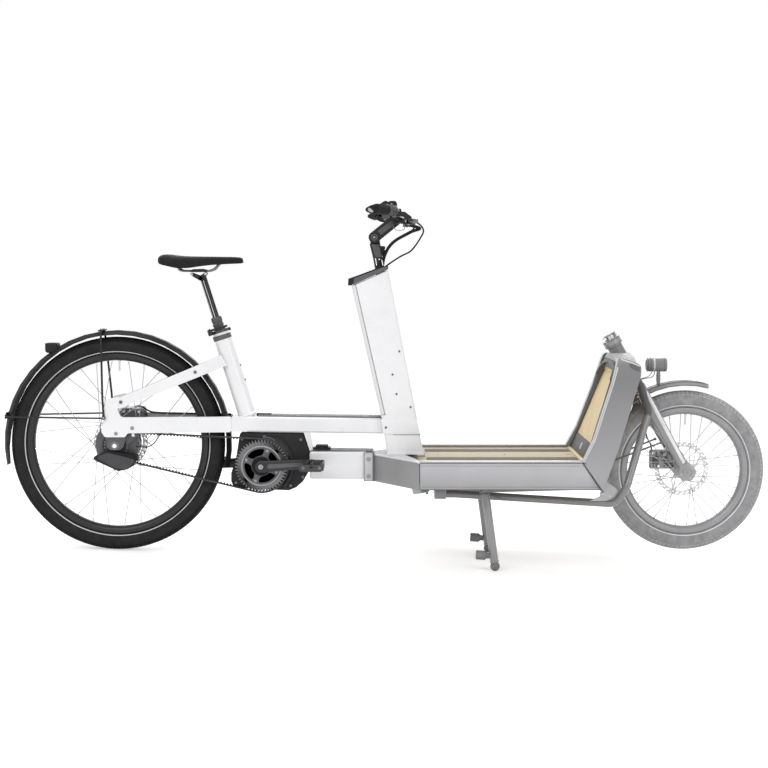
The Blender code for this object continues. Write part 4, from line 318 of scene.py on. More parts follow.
def timber(name, pale, dark, stretch):
    """Oiled plywood: long grain, pores and slow changes of tone."""
    look = Finish(name, pale, 0.5)
    along = look.stretched(stretch)
    grain = look.noise(0.16, 6.0, along, rough=0.65)
    bands = look.math("SINE", look.math("MULTIPLY", look.math("ADD", look.noise(0.9, 3.0, along), grain), 34.0))
    tone = look.mix(look.ramp(bands, -1.0, 1.0, 0.0, 0.7), pale, dark)
    pores = look.math("MULTIPLY", look.ramp(look.noise(0.035, 4.0, along), 0.60, 0.72), 0.35)
    look.raise_by(grain, 0.00025, 0.5)
    return look.set(base_color=look.mix(pores, tone, shade(dark, 0.72)),
                    roughness=look.ramp(grain, 0.3, 0.7, 0.42, 0.62),
                    coat_weight=0.15, coat_roughness=0.3).material


# Each finish: its name, a slot that is listed in SLOTS but given to no piece, its colour, or its grey and its blue,
# and what its maker takes after the colour
FINISHES = {
    painted: (
        ("white_paint", "white_paint", (0.83, 0.845), 0.32),
        ("beam_paint", "white_paint", (0.76, 0.775)),
        ("cover_paint", "white_paint", (0.73, 0.745)),
        ("corner_paint", "grey_paint", (0.26, 0.265), 0.42, 0.3, 0.1),
        ("tube_paint", "grey_metal", (0.19, 0.193), 0.24, 0.8),
        ("fork_paint", "grey_metal", (0.27, 0.28), 0.38, 0.4, 0.2),
        ("stand_paint", "grey_metal", (0.265, 0.268), 0.30, 0.6),
    ),
    graded: (
        ("post_paint", "grey_paint", (0.19, 0.195), (0.34, 0.34, 0.35), 0.64, 0.36, 0.45),
        # The side rails: lighter at the top and darker below, as painted shading.
        ("rail_metal", "side_paint", (0.46, 0.47), (0.30, 0.30, 0.305), 0.335, 0.255, 0.42),
    ),
    moulded: (
        ("pale_plastic", "black_plastic", (0.42, 0.43), 0.45, 0.0012, 0.00008, 0.03),
        ("black_plastic", "black_plastic", (0.016, 0.017), 0.52),
        ("motor_plastic", "black_plastic", (0.019, 0.0195), 0.50, 0.0011),
        ("pod_plastic", "black_plastic", (0.024, 0.025), 0.48),
        ("grey_plastic", "black_plastic", (0.26, 0.265), 0.50, 0.001, 0.0001, 0.06),
        ("strip_plastic", "white_paint", (0.30, 0.305), 0.5, 0.001, 0.00006, 0.05),
        ("panel_plastic", "grey_metal", (0.060, 0.063), 0.46),
        ("cover_plate", "grey_paint", (0.56, 0.57), 0.42, 0.001, 0.00005, 0.03),
        ("cap_plastic", "black_plastic", (0.12, 0.122), 0.42),
        # Also darkens the lower tubes' upper ends as painted shade.
        ("kick_plastic", "grey_paint", (0.115, 0.112, 0.118), 0.5, 0.002, 0.0002, 0.05),
        ("hoop_plastic", "grey_paint", (0.13, 0.132), 0.48, 0.0012, 0.0001, 0.05),
        ("grip_tape", "grip_rubber", (0.20, 0.165, 0.155), 0.9, 0.0007, 0.0002, 0.06),
        ("deep_plastic", "black_plastic", (0.008, 0.008), 0.6),
        ("dark_strip", "side_paint", (0.12, 0.122), 0.5, 0.001, 0.00006, 0.05),
        ("screen_glass", "black_plastic", (0.006, 0.007), 0.12, 0.002, 0.00001, 0.02),
        ("guard_plastic", "black_plastic", (0.30, 0.302), 0.48, 0.001, 0.0001, 0.06),
        ("lamp_plastic", "dark_metal", (0.215, 0.218), 0.34, 0.001, 0.00004, 0.05),
        ("lens_glass", "dark_metal", (0.55, 0.56, 0.58), 0.08, 0.004, 0.00001, 0.02),
        # Grey for the main beam's top: painted shade.
        ("band_plastic", "white_paint", (0.20, 0.203), 0.5, 0.001, 0.00006, 0.05),
        ("red_lens", "black_plastic", (0.16, 0.010, 0.011), 0.18, 0.004, 0.00002, 0.03),
        ("reflective_line", "tyre_rubber", (0.62, 0.63), 0.35, 0.0008, 0.00003, 0.03),
        ("faded_line", "faded_rubber", (0.78, 0.79), 0.40, 0.0008, 0.00003, 0.02),
    ),
    metal: (
        ("trim_metal", "grey_paint", (0.74, 0.75), 0.34, 0.5, (1, 40, 40)),
        ("black_metal", "dark_metal", (0.012, 0.0125), 0.36, 0.3),
        ("rim_metal", "dark_metal", (0.018, 0.019), 0.34, 0.3),
        ("faded_rim_metal", "grey_metal", (0.30, 0.31), 0.38, 0.3),
        ("hub_metal", "dark_metal", (0.095, 0.10), 0.40, 0.4),
        ("faded_metal", "grey_metal", (0.36, 0.37), 0.38, 0.4),
        ("steel", "bare_metal", (0.62, 0.63), 0.26),
        ("bright_steel", "bare_metal", (0.82, 0.83), 0.24, 0.75),
        ("dark_steel", "dark_metal", (0.16, 0.165), 0.34, 0.7),
        ("ring_metal", "dark_metal", (0.17, 0.173), 0.30, 0.6),
        ("cage_metal", "dark_metal", (0.33, 0.34), 0.36, 0.45),
        ("spider_metal", "dark_metal", (0.10, 0.105), 0.36, 0.5),
        ("crank_metal", "dark_metal", (0.030, 0.032), 0.34, 0.45),
        ("pedal_metal", "black_plastic", (0.050, 0.052), 0.38, 0.3),
        ("bolt_metal", "bare_metal", (0.30, 0.31), 0.34, 0.5),
        ("pale_metal", "side_paint", (0.46, 0.47), 0.4, 0.3),
        ("spoke_steel", "bare_metal", (0.38, 0.385), 0.30, 0.6),
        ("pale_steel", "bare_metal", (0.70, 0.71), 0.34, 0.5),
        ("rotor_steel", "bare_metal", (0.84, 0.85), 0.40, 0.2),
        ("faded_spoke", "bare_metal", (0.50, 0.505), 0.34, 0.3),
        ("arm_metal", "dark_metal", (0.080, 0.083), 0.40, 0.4),
        ("post_gloss", "dark_metal", (0.018, 0.019), 0.16, 0.3),
    ),
    rubber: (
        ("belt_cord", "grip_rubber", (0.055, 0.056), 0.6, 0.0007, 0.00005),
        ("sleeve_rubber", "grip_rubber", (0.10, 0.102), 0.6),
        ("saddle_leather", "grip_rubber", (0.0105, 0.011), 0.58, 0.0020, 0.00008),
        ("foot_rubber", "grip_rubber", (0.20, 0.202), 0.7),
        ("belt_rubber", "grip_rubber", (0.020, 0.021), 0.7),
        ("soft_rubber", "grip_rubber", (0.012, 0.0125), 0.8),
        ("hose_rubber", "grip_rubber", (0.010, 0.0105), 0.55, 0.0007, 0.00005),
        ("faded_rubber", "grip_rubber", (0.30, 0.305)),
        ("tread_rubber", "tyre_rubber", (0.009, 0.0093), 0.85, 0.002, 0.0002),
        ("faded_tread", "faded_rubber", (0.37, 0.375), 0.85, 0.002, 0.0002),
    ),
    tyre_side: (
        ("rear_tyre_rubber", "tyre_rubber", (0.010, 0.0103), REAR_AXLE, 0.354),
        ("front_tyre_rubber", "faded_rubber", (0.25, 0.255), FRONT_AXLE, 0.265),
    ),
    timber: (
        ("deck_wood", "wood", (0.36, 0.305, 0.145), (0.28, 0.22, 0.095), (0.12, 1.6, 1.6)),
        ("wall_wood", "wood", (0.76, 0.60, 0.345), (0.63, 0.475, 0.24), (1.6, 1.6, 0.12)),
    ),
}
LOOKS = {}
SLOTS = {}
for maker, rows in FINISHES.items():
    for name, slot, colour, *rest in rows:
        LOOKS[name] = maker(name, colour if len(colour) == 3 else (colour[0], *colour), *rest)
        SLOTS[name] = slot


# Shapes: their places and corners are typed tuples in millimetres or worked out vectors in metres, and their radii,
# depths and bevels are millimetres

def at(point):
    """A place or a corner in metres."""
    return Vector(point) if isinstance(point, Vector) else Vector([value / 1000 for value in point])


def verts_in(items):
    return [item for item in items if isinstance(item, bmesh.types.BMVert)]


def cleaned(shape):
    bmesh.ops.remove_doubles(shape, verts=shape.verts, dist=1e-6)
    bmesh.ops.recalc_face_normals(shape, faces=shape.faces)
    return shape


def joined(shapes):
    whole = bmesh.new()
    for shape in shapes:
        mesh = bpy.data.meshes.new("joined")
        shape.to_mesh(mesh)
        shape.free()
        whole.from_mesh(mesh)
        bpy.data.meshes.remove(mesh)
    return whole


def clad(name, shape, looks, level=True):
    """An object from a shape, tipped onto the stand if it is level."""
    if level:
        bmesh.ops.transform(shape, matrix=stand_up, verts=shape.verts)
    cleaned(shape)
    mesh = bpy.data.meshes.new(name)
    shape.to_mesh(mesh)
    shape.free()
    mesh.shade_smooth()
    for look in looks:
        mesh.materials.append(LOOKS[look])
    return shown(name, mesh)


def fitted(name, looks, *shapes, body="frame", slot=None, stands_for=None, bevel=0, steps=2, smooth=38, level=True,
           finer=0):
    """One piece of the bicycle from its shapes, riding on a body."""
    looks = looks.split()
    piece = clad(name, joined(shapes), looks, level)
    if finer:
        surface = piece.modifiers.new("finer", "SUBSURF")
        surface.levels = surface.render_levels = finer
    else:
        piece.data.set_sharp_from_angle(angle=math.radians(smooth))
    if bevel:
        edge = piece.modifiers.new("edges", "BEVEL")
        edge.width = bevel / 1000
        edge.segments = steps
        edge.limit_method = "ANGLE"
        edge.angle_limit = math.radians(smooth)
        edge.harden_normals = True
    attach(piece, body)
    slot or SLOTS[looks[0]]
    if stands_for:
        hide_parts(stands_for)
    return piece


on_column = partial(fitted, body="column")
on_bar = partial(fitted, body="handlebar_assembly")
on_fork = partial(fitted, body="front_fork")
on_crank = partial(fitted, body="crankset")
on_seat = partial(fitted, body="seat")


def softened(shape, width, segments=2):
    sharp = [edge for edge in shape.edges if edge.calc_face_angle(0) > math.radians(30)]
    bmesh.ops.bevel(shape, geom=sharp, offset=width / 1000, segments=segments, profile=0.5, affect="EDGES",
                    material=-1, clamp_overlap=True)
    return shape


def rounded(points, radius, steps=4, closed=True):
    """The same outline or route with each corner turned into an arc."""
    corners = [at(point) for point in points]
    result = []
    for number, corner in enumerate(corners):
        to_last = corners[number - 1] - corner
        to_next = corners[(number + 1) % len(corners)] - corner
        half = to_last.angle(to_next) / 2
        if half > math.radians(89) or not closed and number in (0, len(corners) - 1):
            result.append(corner)
            continue
        reach = min(radius / 1000 / math.tan(half), 0.45 * to_last.length, 0.45 * to_next.length)
        bisector = (to_last.normalized() + to_next.normalized()).normalized()
        centre = corner + bisector * reach / math.cos(half)
        start = corner + to_last.normalized() * reach - centre
        end = corner + to_next.normalized() * reach - centre
        turn = start.angle(end)
        side = (end - start * math.cos(turn)) / math.sin(turn)
        for step in range(steps + 1):
            angle = turn * step / steps
            result.append(centre + start * math.cos(angle) + side * math.sin(angle))
    return result


def prism(outline, start, end, ease=0, steps=2, corner=0, arc=4, plane="XZ"):
    """A flat outline with rounded corners, carried along the normal of its plane, with its edges eased."""
    corners = rounded(outline, corner, arc) if corner else [at(point) for point in outline]
    low = start / 1000
    shape = bmesh.new()
    face = shape.faces.new([shape.verts.new({"XZ": (a, low, b), "XY": (a, b, low), "YZ": (low, a, b)}[plane])
                            for a, b in corners])
    grown = bmesh.ops.extrude_face_region(shape, geom=[face])
    along = {"XZ": LEFT, "XY": UP, "YZ": AHEAD}[plane] * (end / 1000 - low)
    bmesh.ops.translate(shape, vec=along, verts=verts_in(grown["geom"]))
    cleaned(shape)
    return softened(shape, ease, steps) if ease else shape


def block(low, high, ease=0, steps=2):
    corners = [(low[0], low[2]), (high[0], low[2]), (high[0], high[2]), (low[0], high[2])]
    return prism(corners, low[1], high[1], ease, steps)


def turned(profile, steps, base, direction=LEFT):
    """A profile of (radius, height) turned about the line through base."""
    shape = bmesh.new()
    verts = [shape.verts.new((radius / 1000, 0, height / 1000)) for radius, height in profile]
    edges = [shape.edges.new(pair) for pair in zip(verts, verts[1:])]
    if profile[0][0] > 0:
        edges.append(shape.edges.new((verts[-1], verts[0])))
    bmesh.ops.spin(shape, geom=verts + edges, cent=(0, 0, 0), axis=UP, angle=math.tau, steps=steps, use_merge=True)
    if direction == LEFT:
        turn = Matrix.Rotation(-math.pi / 2, 4, "X")
    else:
        turn = Vector(direction).to_track_quat("Z", "Y").to_matrix().to_4x4()
    bmesh.ops.transform(shape, matrix=Matrix.Translation(at(base)) @ turn, verts=shape.verts)
    return cleaned(shape)


def ring(inner, outer, low, high, steps, base, direction=LEFT):
    return turned([(inner, low), (outer, low), (outer, high), (inner, high)], steps, base, direction)


def rod(start, end, radius, sides=16, end_radius=None):
    shape = bmesh.new()
    start, end = at(start), at(end)
    along = end - start
    bmesh.ops.create_cone(shape, cap_ends=True, segments=sides, radius1=radius / 1000,
                          radius2=(end_radius or radius) / 1000, depth=along.length)
    turn = along.to_track_quat("Z", "Y").to_matrix().to_4x4()
    bmesh.ops.transform(shape, matrix=Matrix.Translation((start + end) / 2) @ turn, verts=shape.verts)
    return shape


def across(place, near, far, radius, sides=16):
    """A rod beside a place, between two distances to the left."""
    return rod(at(place) + LEFT * near / 1000, at(place) + LEFT * far / 1000, radius, sides)


def mirrored(shape):
    """The same shape on the other side of the bicycle."""
    bmesh.ops.scale(shape, vec=(1, -1, 1), verts=shape.verts)
    bmesh.ops.recalc_face_normals(shape, faces=shape.faces)
    return shape


def both_sides(*shapes):
    """Shapes drawn on the rider's left, and the same on the right."""
    return [*shapes, *(mirrored(shape.copy()) for shape in shapes)]


def symmetrical(half):
    """An outline across the bicycle from its left half."""
    return half + [(-y, z) for y, z in reversed(half)]


def smooth_route(points, spacing=6):
    """Points read about every spacing off a smooth curve."""
    knots = [at(point) for point in points]
    knots = [2 * knots[0] - knots[1], *knots, 2 * knots[-1] - knots[-2]]
    result = [knots[1]]
    for number in range(1, len(knots) - 2):
        before, start, end, after = knots[number - 1 : number + 3]
        steps = max(1, round((end - start).length * 1000 / spacing))
        for step in range(1, steps + 1):
            t = step / steps
            bend = 2 * start + (end - before) * t + (2 * before - 5 * start + 4 * end - after) * t**2
            result.append((bend + (3 * start - before - 3 * end + after) * t**3) / 2)
    return result


def tube(route, radius, sides=12):
    """A round tube along a route."""
    curve = bpy.data.curves.new("route", "CURVE")
    curve.dimensions = "3D"
    curve.bevel_depth = radius / 1000
    curve.bevel_resolution = (sides - 4) // 2
    curve.use_fill_caps = True
    spline = curve.splines.new("POLY")
    spline.points.add(len(route) - 1)
    for point, spot in zip(spline.points, route):
        point.co = (*spot, 1)
    holder = bpy.data.objects.new("route", curve)
    mesh = bpy.data.meshes.new_from_object(holder)
    shape = bmesh.new()
    shape.from_mesh(mesh)
    bpy.data.objects.remove(holder)
    bpy.data.curves.remove(curve)
    bpy.data.meshes.remove(mesh)
    return cleaned(shape)


def refined(node, looks, bevel=0.6, steps=2, slot=None, where=None, change=None):
    """A solid with its edges eased. It has two looks where some faces have the second one."""
    shape = bmesh.new()
    shape.from_mesh(nodes[node].data)
    bmesh.ops.remove_doubles(shape, verts=shape.verts, dist=2e-5)
    bmesh.ops.dissolve_limit(shape, angle_limit=math.radians(0.5), verts=shape.verts, edges=shape.edges)
    if where:
        for face in shape.faces:
            face.material_index = int(where(level_again @ face.calc_center_median()))
    if change:
        change(shape)
    fitted(node + "_finish", looks, shape, body=nodes[node]["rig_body"], slot=slot, stands_for=node, bevel=bevel,
           steps=steps, smooth=32, level=False)


def bolt_head(place, direction, radius, height):
    """A round head with a hexagon socket, seated a little below the face that it stands on."""
    profile = [(0, -1), (radius, -1), (radius, height * 0.6), (radius * 0.8, height), (radius * 0.5, height),
               (radius * 0.45, height * 0.35), (0, height * 0.35)]
    return turned(profile, 18, place, Vector(direction).normalized())


def around(axle, radius, angle, y=0):
    """A point beside a wheel: its angle runs from straight ahead up and over."""
    reach = radius / 1000
    return axle + Vector((reach * math.cos(angle), y / 1000, reach * math.sin(angle)))


def screws(name, look, radius, height, direction, *places, body="frame"):
    """Round socket heads, each seated a little in the face that it stands on."""
    heads = [bolt_head(place, direction, radius, height) for place in places]
    fitted(name, look, *heads, body=body, slot="bare_metal", smooth=30)


def each_side(body="frame"):
    """What each side needs: its name, its sign, and makers of pieces and screws drawn on the rider's left."""
    for side, sign in SIDES:

        def piece(name, looks, *shapes, **more):
            shapes = shapes if sign > 0 else [mirrored(shape) for shape in shapes]
            fitted(f"{side}_{name}", looks, *shapes, body=body, **more)

        def heads(name, look, radius, height, *places, lean=0):
            places = [at(place) * Vector((1, sign, 1)) for place in places]
            screws(f"{side}_{name}", look, radius, height, (lean, sign, 0), *places, body=body)

        yield side, sign, piece, heads


def capsule(first, last, start_radius, end_radius, steps=8):
    """The outline of two circles and the lines that touch both, seen in XZ."""
    first, last = at(first).xz, at(last).xz
    line = last - first
    heading = math.atan2(line.y, line.x)
    lean = math.acos((start_radius - end_radius) / 1000 / line.length)
    outline = []
    for centre, radius, begin, turn in ((last, end_radius, heading - lean, 2 * lean),
                                        (first, start_radius, heading + lean, math.tau - 2 * lean)):
        for step in range(steps + 1):
            angle = begin + turn * step / steps
            outline.append(centre + Vector((math.cos(angle), math.sin(angle))) * radius / 1000)
    return outline


# Rear frame: stays, dropouts, caliper and axle

def in_rear_dark(place):
    """The dropout insert and the brake caliper are dark, the stays white."""
    y = abs(place.y)
    insert = place.z < 0.3865 and y < 0.0785 and place.x < -0.83
    caliper = place.y > 0.0395 and y < 0.0718 and 0.402 < place.z < 0.478 and -0.885 < place.x < -0.79
    return insert or caliper


def lowered_caliper(shape):
    """Brings the caliper's block down to the height of a real one."""
    for vert in shape.verts:
        place = level_again @ vert.co
        if any(face.material_index for face in vert.link_faces) and place.z > 0.45 and place.y < 0.074:
            vert.co.z -= 0.014


STAY_FACE = 88

for side, sign, piece, heads in each_side():
    change = lowered_caliper if sign > 0 else None
    refined(f"{side}_stays", "white_paint hub_metal", 0.8, where=in_rear_dark, change=change)
    heads("plate_screws", "dark_steel", 5.6, 3, (-857, STAY_FACE, 498))
    heads("dropout_screws", "bolt_metal", 6.2, 2.2, (-874, STAY_FACE, 395), (-821, STAY_FACE, 413))
    heads("stay_screw", "dark_steel", 5.2, 3, (-618, 56.8, 594), lean=0.17)
    piece("axle_washer", "dark_steel", across(REAR_AXLE, 77.6, 79.2, 15, 28), bevel=0.4)
cap_nut = turned([(0, 78.2), (8, 78.2), (8, 83.5), (7, 85.3), (5.5, 85.3), (5.2, 86.2), (3.6, 87.2), (0, 87.5)], 24,
                 REAR_AXLE)
fitted("rear_axle_nuts", "bright_steel", *both_sides(cap_nut), across(REAR_AXLE, -78.5, 78.5, 5.8, 20),
       stands_for="rear_axle", smooth=30)

fitted("rear_caliper_body", "black_metal", block((-876, 43, 452), (-838, 66, 465.5), 3),
       block((-829, 46, 450), (-803, 64, 463), 3), rod((-884, 49, 448), (-792, 49, 448), 7.5), bevel=0.6)
fitted("rear_caliper_bolts", "bright_steel",
       *(rod((x, 36, z), (x, 40.5, z), radius, 14) for x, z,
         radius in ((-868, 456, 4.4), (-848, 459, 3.4), (-818, 455, 4.4))),
       rod((-834, 54, 460), (-834, 54, 469.5), 3.6, 14), bevel=0.5)
# A grey strip along the inner face of the far chain stay, darker than the stay's white paint.
far_strip_line = [(-800, 72.8), (-660, 57.6), (-510, 41.3)]
fitted("far_stay_grey_strip", "strip_plastic",
       prism(far_strip_line + [(x, y - 1.6) for x, y in reversed(far_strip_line)], 402, 450, plane="XY"), slot="grip_rubber",
       bevel=0.4)
rear_hose = smooth_route([(-834, 54, 468), (-824, 56, 473.5), (-806, 60, 468), (-788, 64, 456), (-760, 65, 450),
                          (-660, 53, 448.5), (-560, 41.5, 448), (-510, 36.5, 447)])
fitted("rear_brake_hose", "hose_rubber", tube(rear_hose, 3, 10), smooth=60)
hub_cable = smooth_route([(-812, -70, 350.5), (-790, -71, 349), (-772, -74, 350), (-752, -76, 362),
                          (-738, -76.5, 382),
                          (-728, -76.5, 397.5)])
fitted("hub_cable", "hose_rubber", tube(hub_cable, 1.9, 8), smooth=60)

fitted("hub_arm", "hub_metal", prism(capsule((-880, 0, 354), (-822, 0, 387.5), 26, 10.5), -60, -54.5, 1))
screws("hub_arm_screw", "bright_steel", 6.2, 5, -LEFT, (-822, -60, 387.5))
refined("shift_actuator", "pod_plastic", 1.2, slot="grey_metal")
fitted("pod_panel", "panel_plastic",
       prism([(-933, 320.5), (-902, 332.5), (-821, 312.5), (-813.5, 305), (-833.5, 281.5), (-846.5, 276.2),
              (-876.5, 281.2), (-936, 314)], -90.6, -87, 1.4, 3, corner=4), smooth=50)
fitted("pod_lip", "deep_plastic",
       prism([(-906, 333), (-895, 337.2), (-806, 324.5), (-803.5, 306), (-812, 305), (-819, 313), (-887, 329)],
             -89.7, -56, 1), slot="grey_metal")


# Belt drive

TEETH_FRONT = 50
TEETH_REAR = 24
RING_RADIUS = 87.5
SPROCKET_RADIUS = RING_RADIUS * TEETH_REAR / TEETH_FRONT
BELT_Y = -47
belt_line = CRANK_AXIS - REAR_AXLE
BELT_HEADING = math.atan2(belt_line.z, belt_line.x)
BELT_SPREAD = math.asin((RING_RADIUS - SPROCKET_RADIUS) / 1000 / belt_line.length)


def belt_loop(outside):
    """The belt's line at a distance outside its pitch line, once round both sprockets."""
    outline = []
    for axle, radius, heading, wrap in (
        (CRANK_AXIS, RING_RADIUS, BELT_HEADING, math.pi + 2 * BELT_SPREAD),
        (REAR_AXLE, SPROCKET_RADIUS, BELT_HEADING + math.pi, math.pi - 2 * BELT_SPREAD),
    ):
        outline += [around(axle, radius + outside, heading + wrap * (step / 40 - 0.5)).xz for step in range(41)]
    return outline


def flat_loop(outer, inner, start, end):
    """A closed band between two outlines of equal length."""
    walls = [prism(outline, start, end) for outline in (outer, inner)]
    for wall in walls:
        ends = [face for face in wall.faces if abs(face.normal.y) > 0.9]
        bmesh.ops.delete(wall, geom=ends, context="FACES")
    band = joined(walls)
    for y in (start / 1000, end / 1000):
        rims = [edge for edge in band.edges
                if edge.is_boundary and all(abs(vert.co.y - y) < 1e-6 for vert in edge.verts)]
        bmesh.ops.bridge_loops(band, edges=rims)
    return cleaned(band)


def ribbon(outline, start, end, thickness):
    """A closed band that stands on its outline."""
    shape = bmesh.new()
    corners = [shape.verts.new((a, start / 1000, b)) for a, b in outline]
    edges = [shape.edges.new(pair) for pair in zip(corners, corners[1:] + corners[:1])]
    grown = bmesh.ops.extrude_edge_only(shape, edges=edges)
    bmesh.ops.translate(shape, vec=LEFT * (end - start) / 1000, verts=verts_in(grown["geom"]))
    bmesh.ops.recalc_face_normals(shape, faces=shape.faces)
    bmesh.ops.solidify(shape, geom=shape.faces[:], thickness=thickness / 1000)
    return cleaned(shape)


def toothed_ring():
    """The front ring: a groove for each belt tooth and a slightly rounded tip between them."""
    outline = []
    for number in range(TEETH_FRONT):
        middle = BELT_HEADING + math.tau * number / TEETH_FRONT
        for share, depth in ((-0.36, 0.8), (-0.26, 7), (-0.14, 9), (0.14, 9), (0.26, 7), (0.36, 0.8)):
            outline.append(around(CRANK_AXIS, RING_RADIUS - depth, middle + share * math.tau / TEETH_FRONT).xz)
    turns = [step / len(outline) - 0.36 / TEETH_FRONT for step in range(len(outline))]
    inner = [around(CRANK_AXIS, 65.5, BELT_HEADING + math.tau * turn).xz for turn in turns]
    return flat_loop(outline, inner, -53.5, -40.5)


refined("drive_belt", "belt_rubber", 0)
fitted("belt_back", "belt_cord", ribbon(belt_loop(3.4), BELT_Y - 6.2, BELT_Y + 6.2, 3.8), smooth=30)
refined("rear_sprocket", "dark_steel", 0, slot="grey_metal")

SPIDER_ANGLES = [math.radians(68 + 90 * number) for number in range(4)]
on_crank("front_belt_ring", "ring_metal", toothed_ring(), stands_for="front_sprocket", smooth=25)
on_crank("ring_rim", "cage_metal", turned([(62, -56), (65.5, -56), (66.4, -55), (66.4, -42), (62, -42)], 96,
                                          CRANK_AXIS),
         bevel=0.3)
carrier = [ring(56, 62.2, -55, -47, 80, CRANK_AXIS),
           turned([(13, -60), (30, -59), (33.5, -56), (33.5, -48), (13, -48)], 48, CRANK_AXIS)]
for middle in SPIDER_ANGLES:
    sideways = Vector((-math.sin(middle), math.cos(middle))) / 1000
    arm = [(26, -15), (40, -9.8), (50, -10), (59, -17), (59, 17), (50, 10), (40, 9.8), (26, 15)]
    arm = [around(CRANK_AXIS, distance, middle).xz + sideways * half for distance, half in arm]
    carrier.append(prism(arm, -56, -49, 1.2))
on_crank("ring_spider", "spider_metal", *carrier, bevel=0.4)
on_crank("crank_boss_ring", "deep_plastic",
         turned([(19, -61.6), (29, -61.2), (31.8, -59), (31.8, -54), (19, -54)], 48, CRANK_AXIS), slot="dark_metal",
         smooth=30)
screws("ring_screws", "cage_metal", 5, 2.2, -LEFT, *(around(CRANK_AXIS, 53, angle, -56) for angle in SPIDER_ANGLES),
       body="crankset")

CRANK_REACH = Vector((math.cos(math.radians(3.6)), 0, math.sin(math.radians(3.6)))) * 0.170

for side, sign, piece, heads in each_side("crankset"):
    reach = -sign * CRANK_REACH
    end = CRANK_AXIS + reach
    piece("crank_arm", "crank_metal", prism(capsule(CRANK_AXIS, end, 19, 14), 72.5, 86.5, 3.2, 3),
          across(CRANK_AXIS, 0.5, 76, 11.8, 28), across(end, 82.5, 184.5, 5.8, 18), across(end, 86, 90.5, 8.5, 18),
          stands_for=f"{side}_crank", smooth=40)
    ridge = capsule(CRANK_AXIS + reach * 0.17, CRANK_AXIS + reach * 0.86, 7.8, 5.2, 6)
    piece("crank_ridge", "spider_metal", prism(ridge, 85, 87.6, 0.9))
    piece("crank_seat", "black_metal", ring(8.6, 12.8, 85.5, 88.2, 32, CRANK_AXIS), bevel=0.5)
    heads("crank_screw", "cage_metal", 8.6, 2.2, CRANK_AXIS + LEFT * 0.0862)

CAGE_HALF = [(39.5, -8.5), (39.5, 12.5), (33, 15), (24, 8.5)]

for side, sign in SIDES:
    centre = CRANK_AXIS - sign * CRANK_REACH
    x, z = centre.x * 1000, centre.z * 1000
    cage = [(-39.5, -8.5), (-30, -14.5), (30, -14.5), *CAGE_HALF, *((-a, b) for a, b in CAGE_HALF[:0:-1])]
    cage = [(x + a, z + b) for a, b in cage]
    plates = [prism(cage, y - 1.8, y + 1.8, 0.6, 1, corner=3, arc=3) for y in (95, 181.5)]
    plates += [block((x + a - 3.2, 94.5, z - 11.5), (x + a + 3.2, 182, z + 11.5), 1.2) for a in (-36, 36)]
    core = [rod((x, 93.5, z), (x, 183, z), 10.5, 24)]
    for tread in (x - 20.5, x + 20.5):
        core.append(block((tread - 11.5, 98.5, z - 10.5), (tread + 11.5, 178, z + 13.5), 3, 3))
        core += [block((tread - 12, y - 3, z - 12.8), (tread + 12, y + 3, z + 15.5), 1.2, 1)
                 for y in (107, 122.5, 138, 153.5, 169)]
    rivets = [(x + a, sign * 183.3, z - 2) for a in (-26, 0, 26)]
    on_pedal = dict(body=nodes[f"{side}_pedal"]["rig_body"])
    if sign < 0:
        plates, core = ([mirrored(shape) for shape in shapes] for shapes in (plates, core))
    fitted(f"{side}_pedal_cage", "pedal_metal", *plates, stands_for=f"{side}_pedal", smooth=35, **on_pedal)
    fitted(f"{side}_pedal_core", "black_plastic", *core, smooth=35, **on_pedal)
    screws(f"{side}_pedal_rivets", "dark_steel", 5.2, 1.2, (0, sign, 0), *rivets, **on_pedal)


# Motor

def arc_band(inner, outer, first, last, start, end, ease):
    """A curved band round the cranks between two angles in degrees."""
    edges = [around(CRANK_AXIS, radius, math.radians(begin + (finish - begin) * step / 24)).xz
             for radius, begin, finish in ((outer, first, last), (inner, last, first)) for step in range(25)]
    return prism(edges, start, end, *ease)


fitted("motor_shell", "motor_plastic",
       prism([(-496, 210), (-504.5, 232), (-504.5, 258), (-487, 315), (-474.5, 391.5), (-268, 390.5), (-251, 345.5),
              (-243, 301), (-244.5, 270), (-267, 231), (-290, 211), (-314, 201), (-340, 202)],
             -38.5, 66, 4.5, 3, corner=7, arc=3), stands_for="motor_housing", smooth=45)
fitted("motor_side_cover", "black_plastic",
       prism([(-493.5, 215), (-501, 234), (-501, 259), (-483.5, 316), (-471, 387), (-335, 385), (-318, 360),
              (-300, 315),
              (-298, 260), (-316, 213), (-340, 207)], -40.4, -37.5, 1.2, corner=8))
fitted("motor_crescent", "pod_plastic", arc_band(96.5, 106.5, -44, 62, -49, -38.5, (2.2, 3)), smooth=45)
fitted("motor_inner_band", "spider_metal", arc_band(90.5, 97.2, 18, 84, -42.5, -38.5, (1,)), slot="black_plastic",
       smooth=45)
screws("motor_screws", "dark_steel", 4.8, 2.4, -LEFT, (-488, -40.4, 227), (-467, -40.4, 372), (-394, -40.4, 380),
       (-308, -40.4, 218), (-274, -38.5, 370), (-268, -38.5, 246))
fitted("motor_left_cover", "black_plastic",
       prism([(-492, 225), (-496, 290), (-470, 368), (-445, 380), (-280, 375), (-260, 335), (-257, 265), (-290, 223),
              (-325, 211)], 65.5, 68.2, 1.2, corner=12))
fitted("motor_left_disc", "pod_plastic", turned([(13, 70), (40, 70), (44, 69), (50, 67.2), (13, 67.2)], 64,
                                                CRANK_AXIS),
       smooth=25)


# Rear mudguard, its stays and the rear light

REAR_GUARD_RADIUS = 376.8
GUARD_TIP_RADIUS = 0.3746
STAY_FOOT = Vector((-0.913, 0, 0.446))


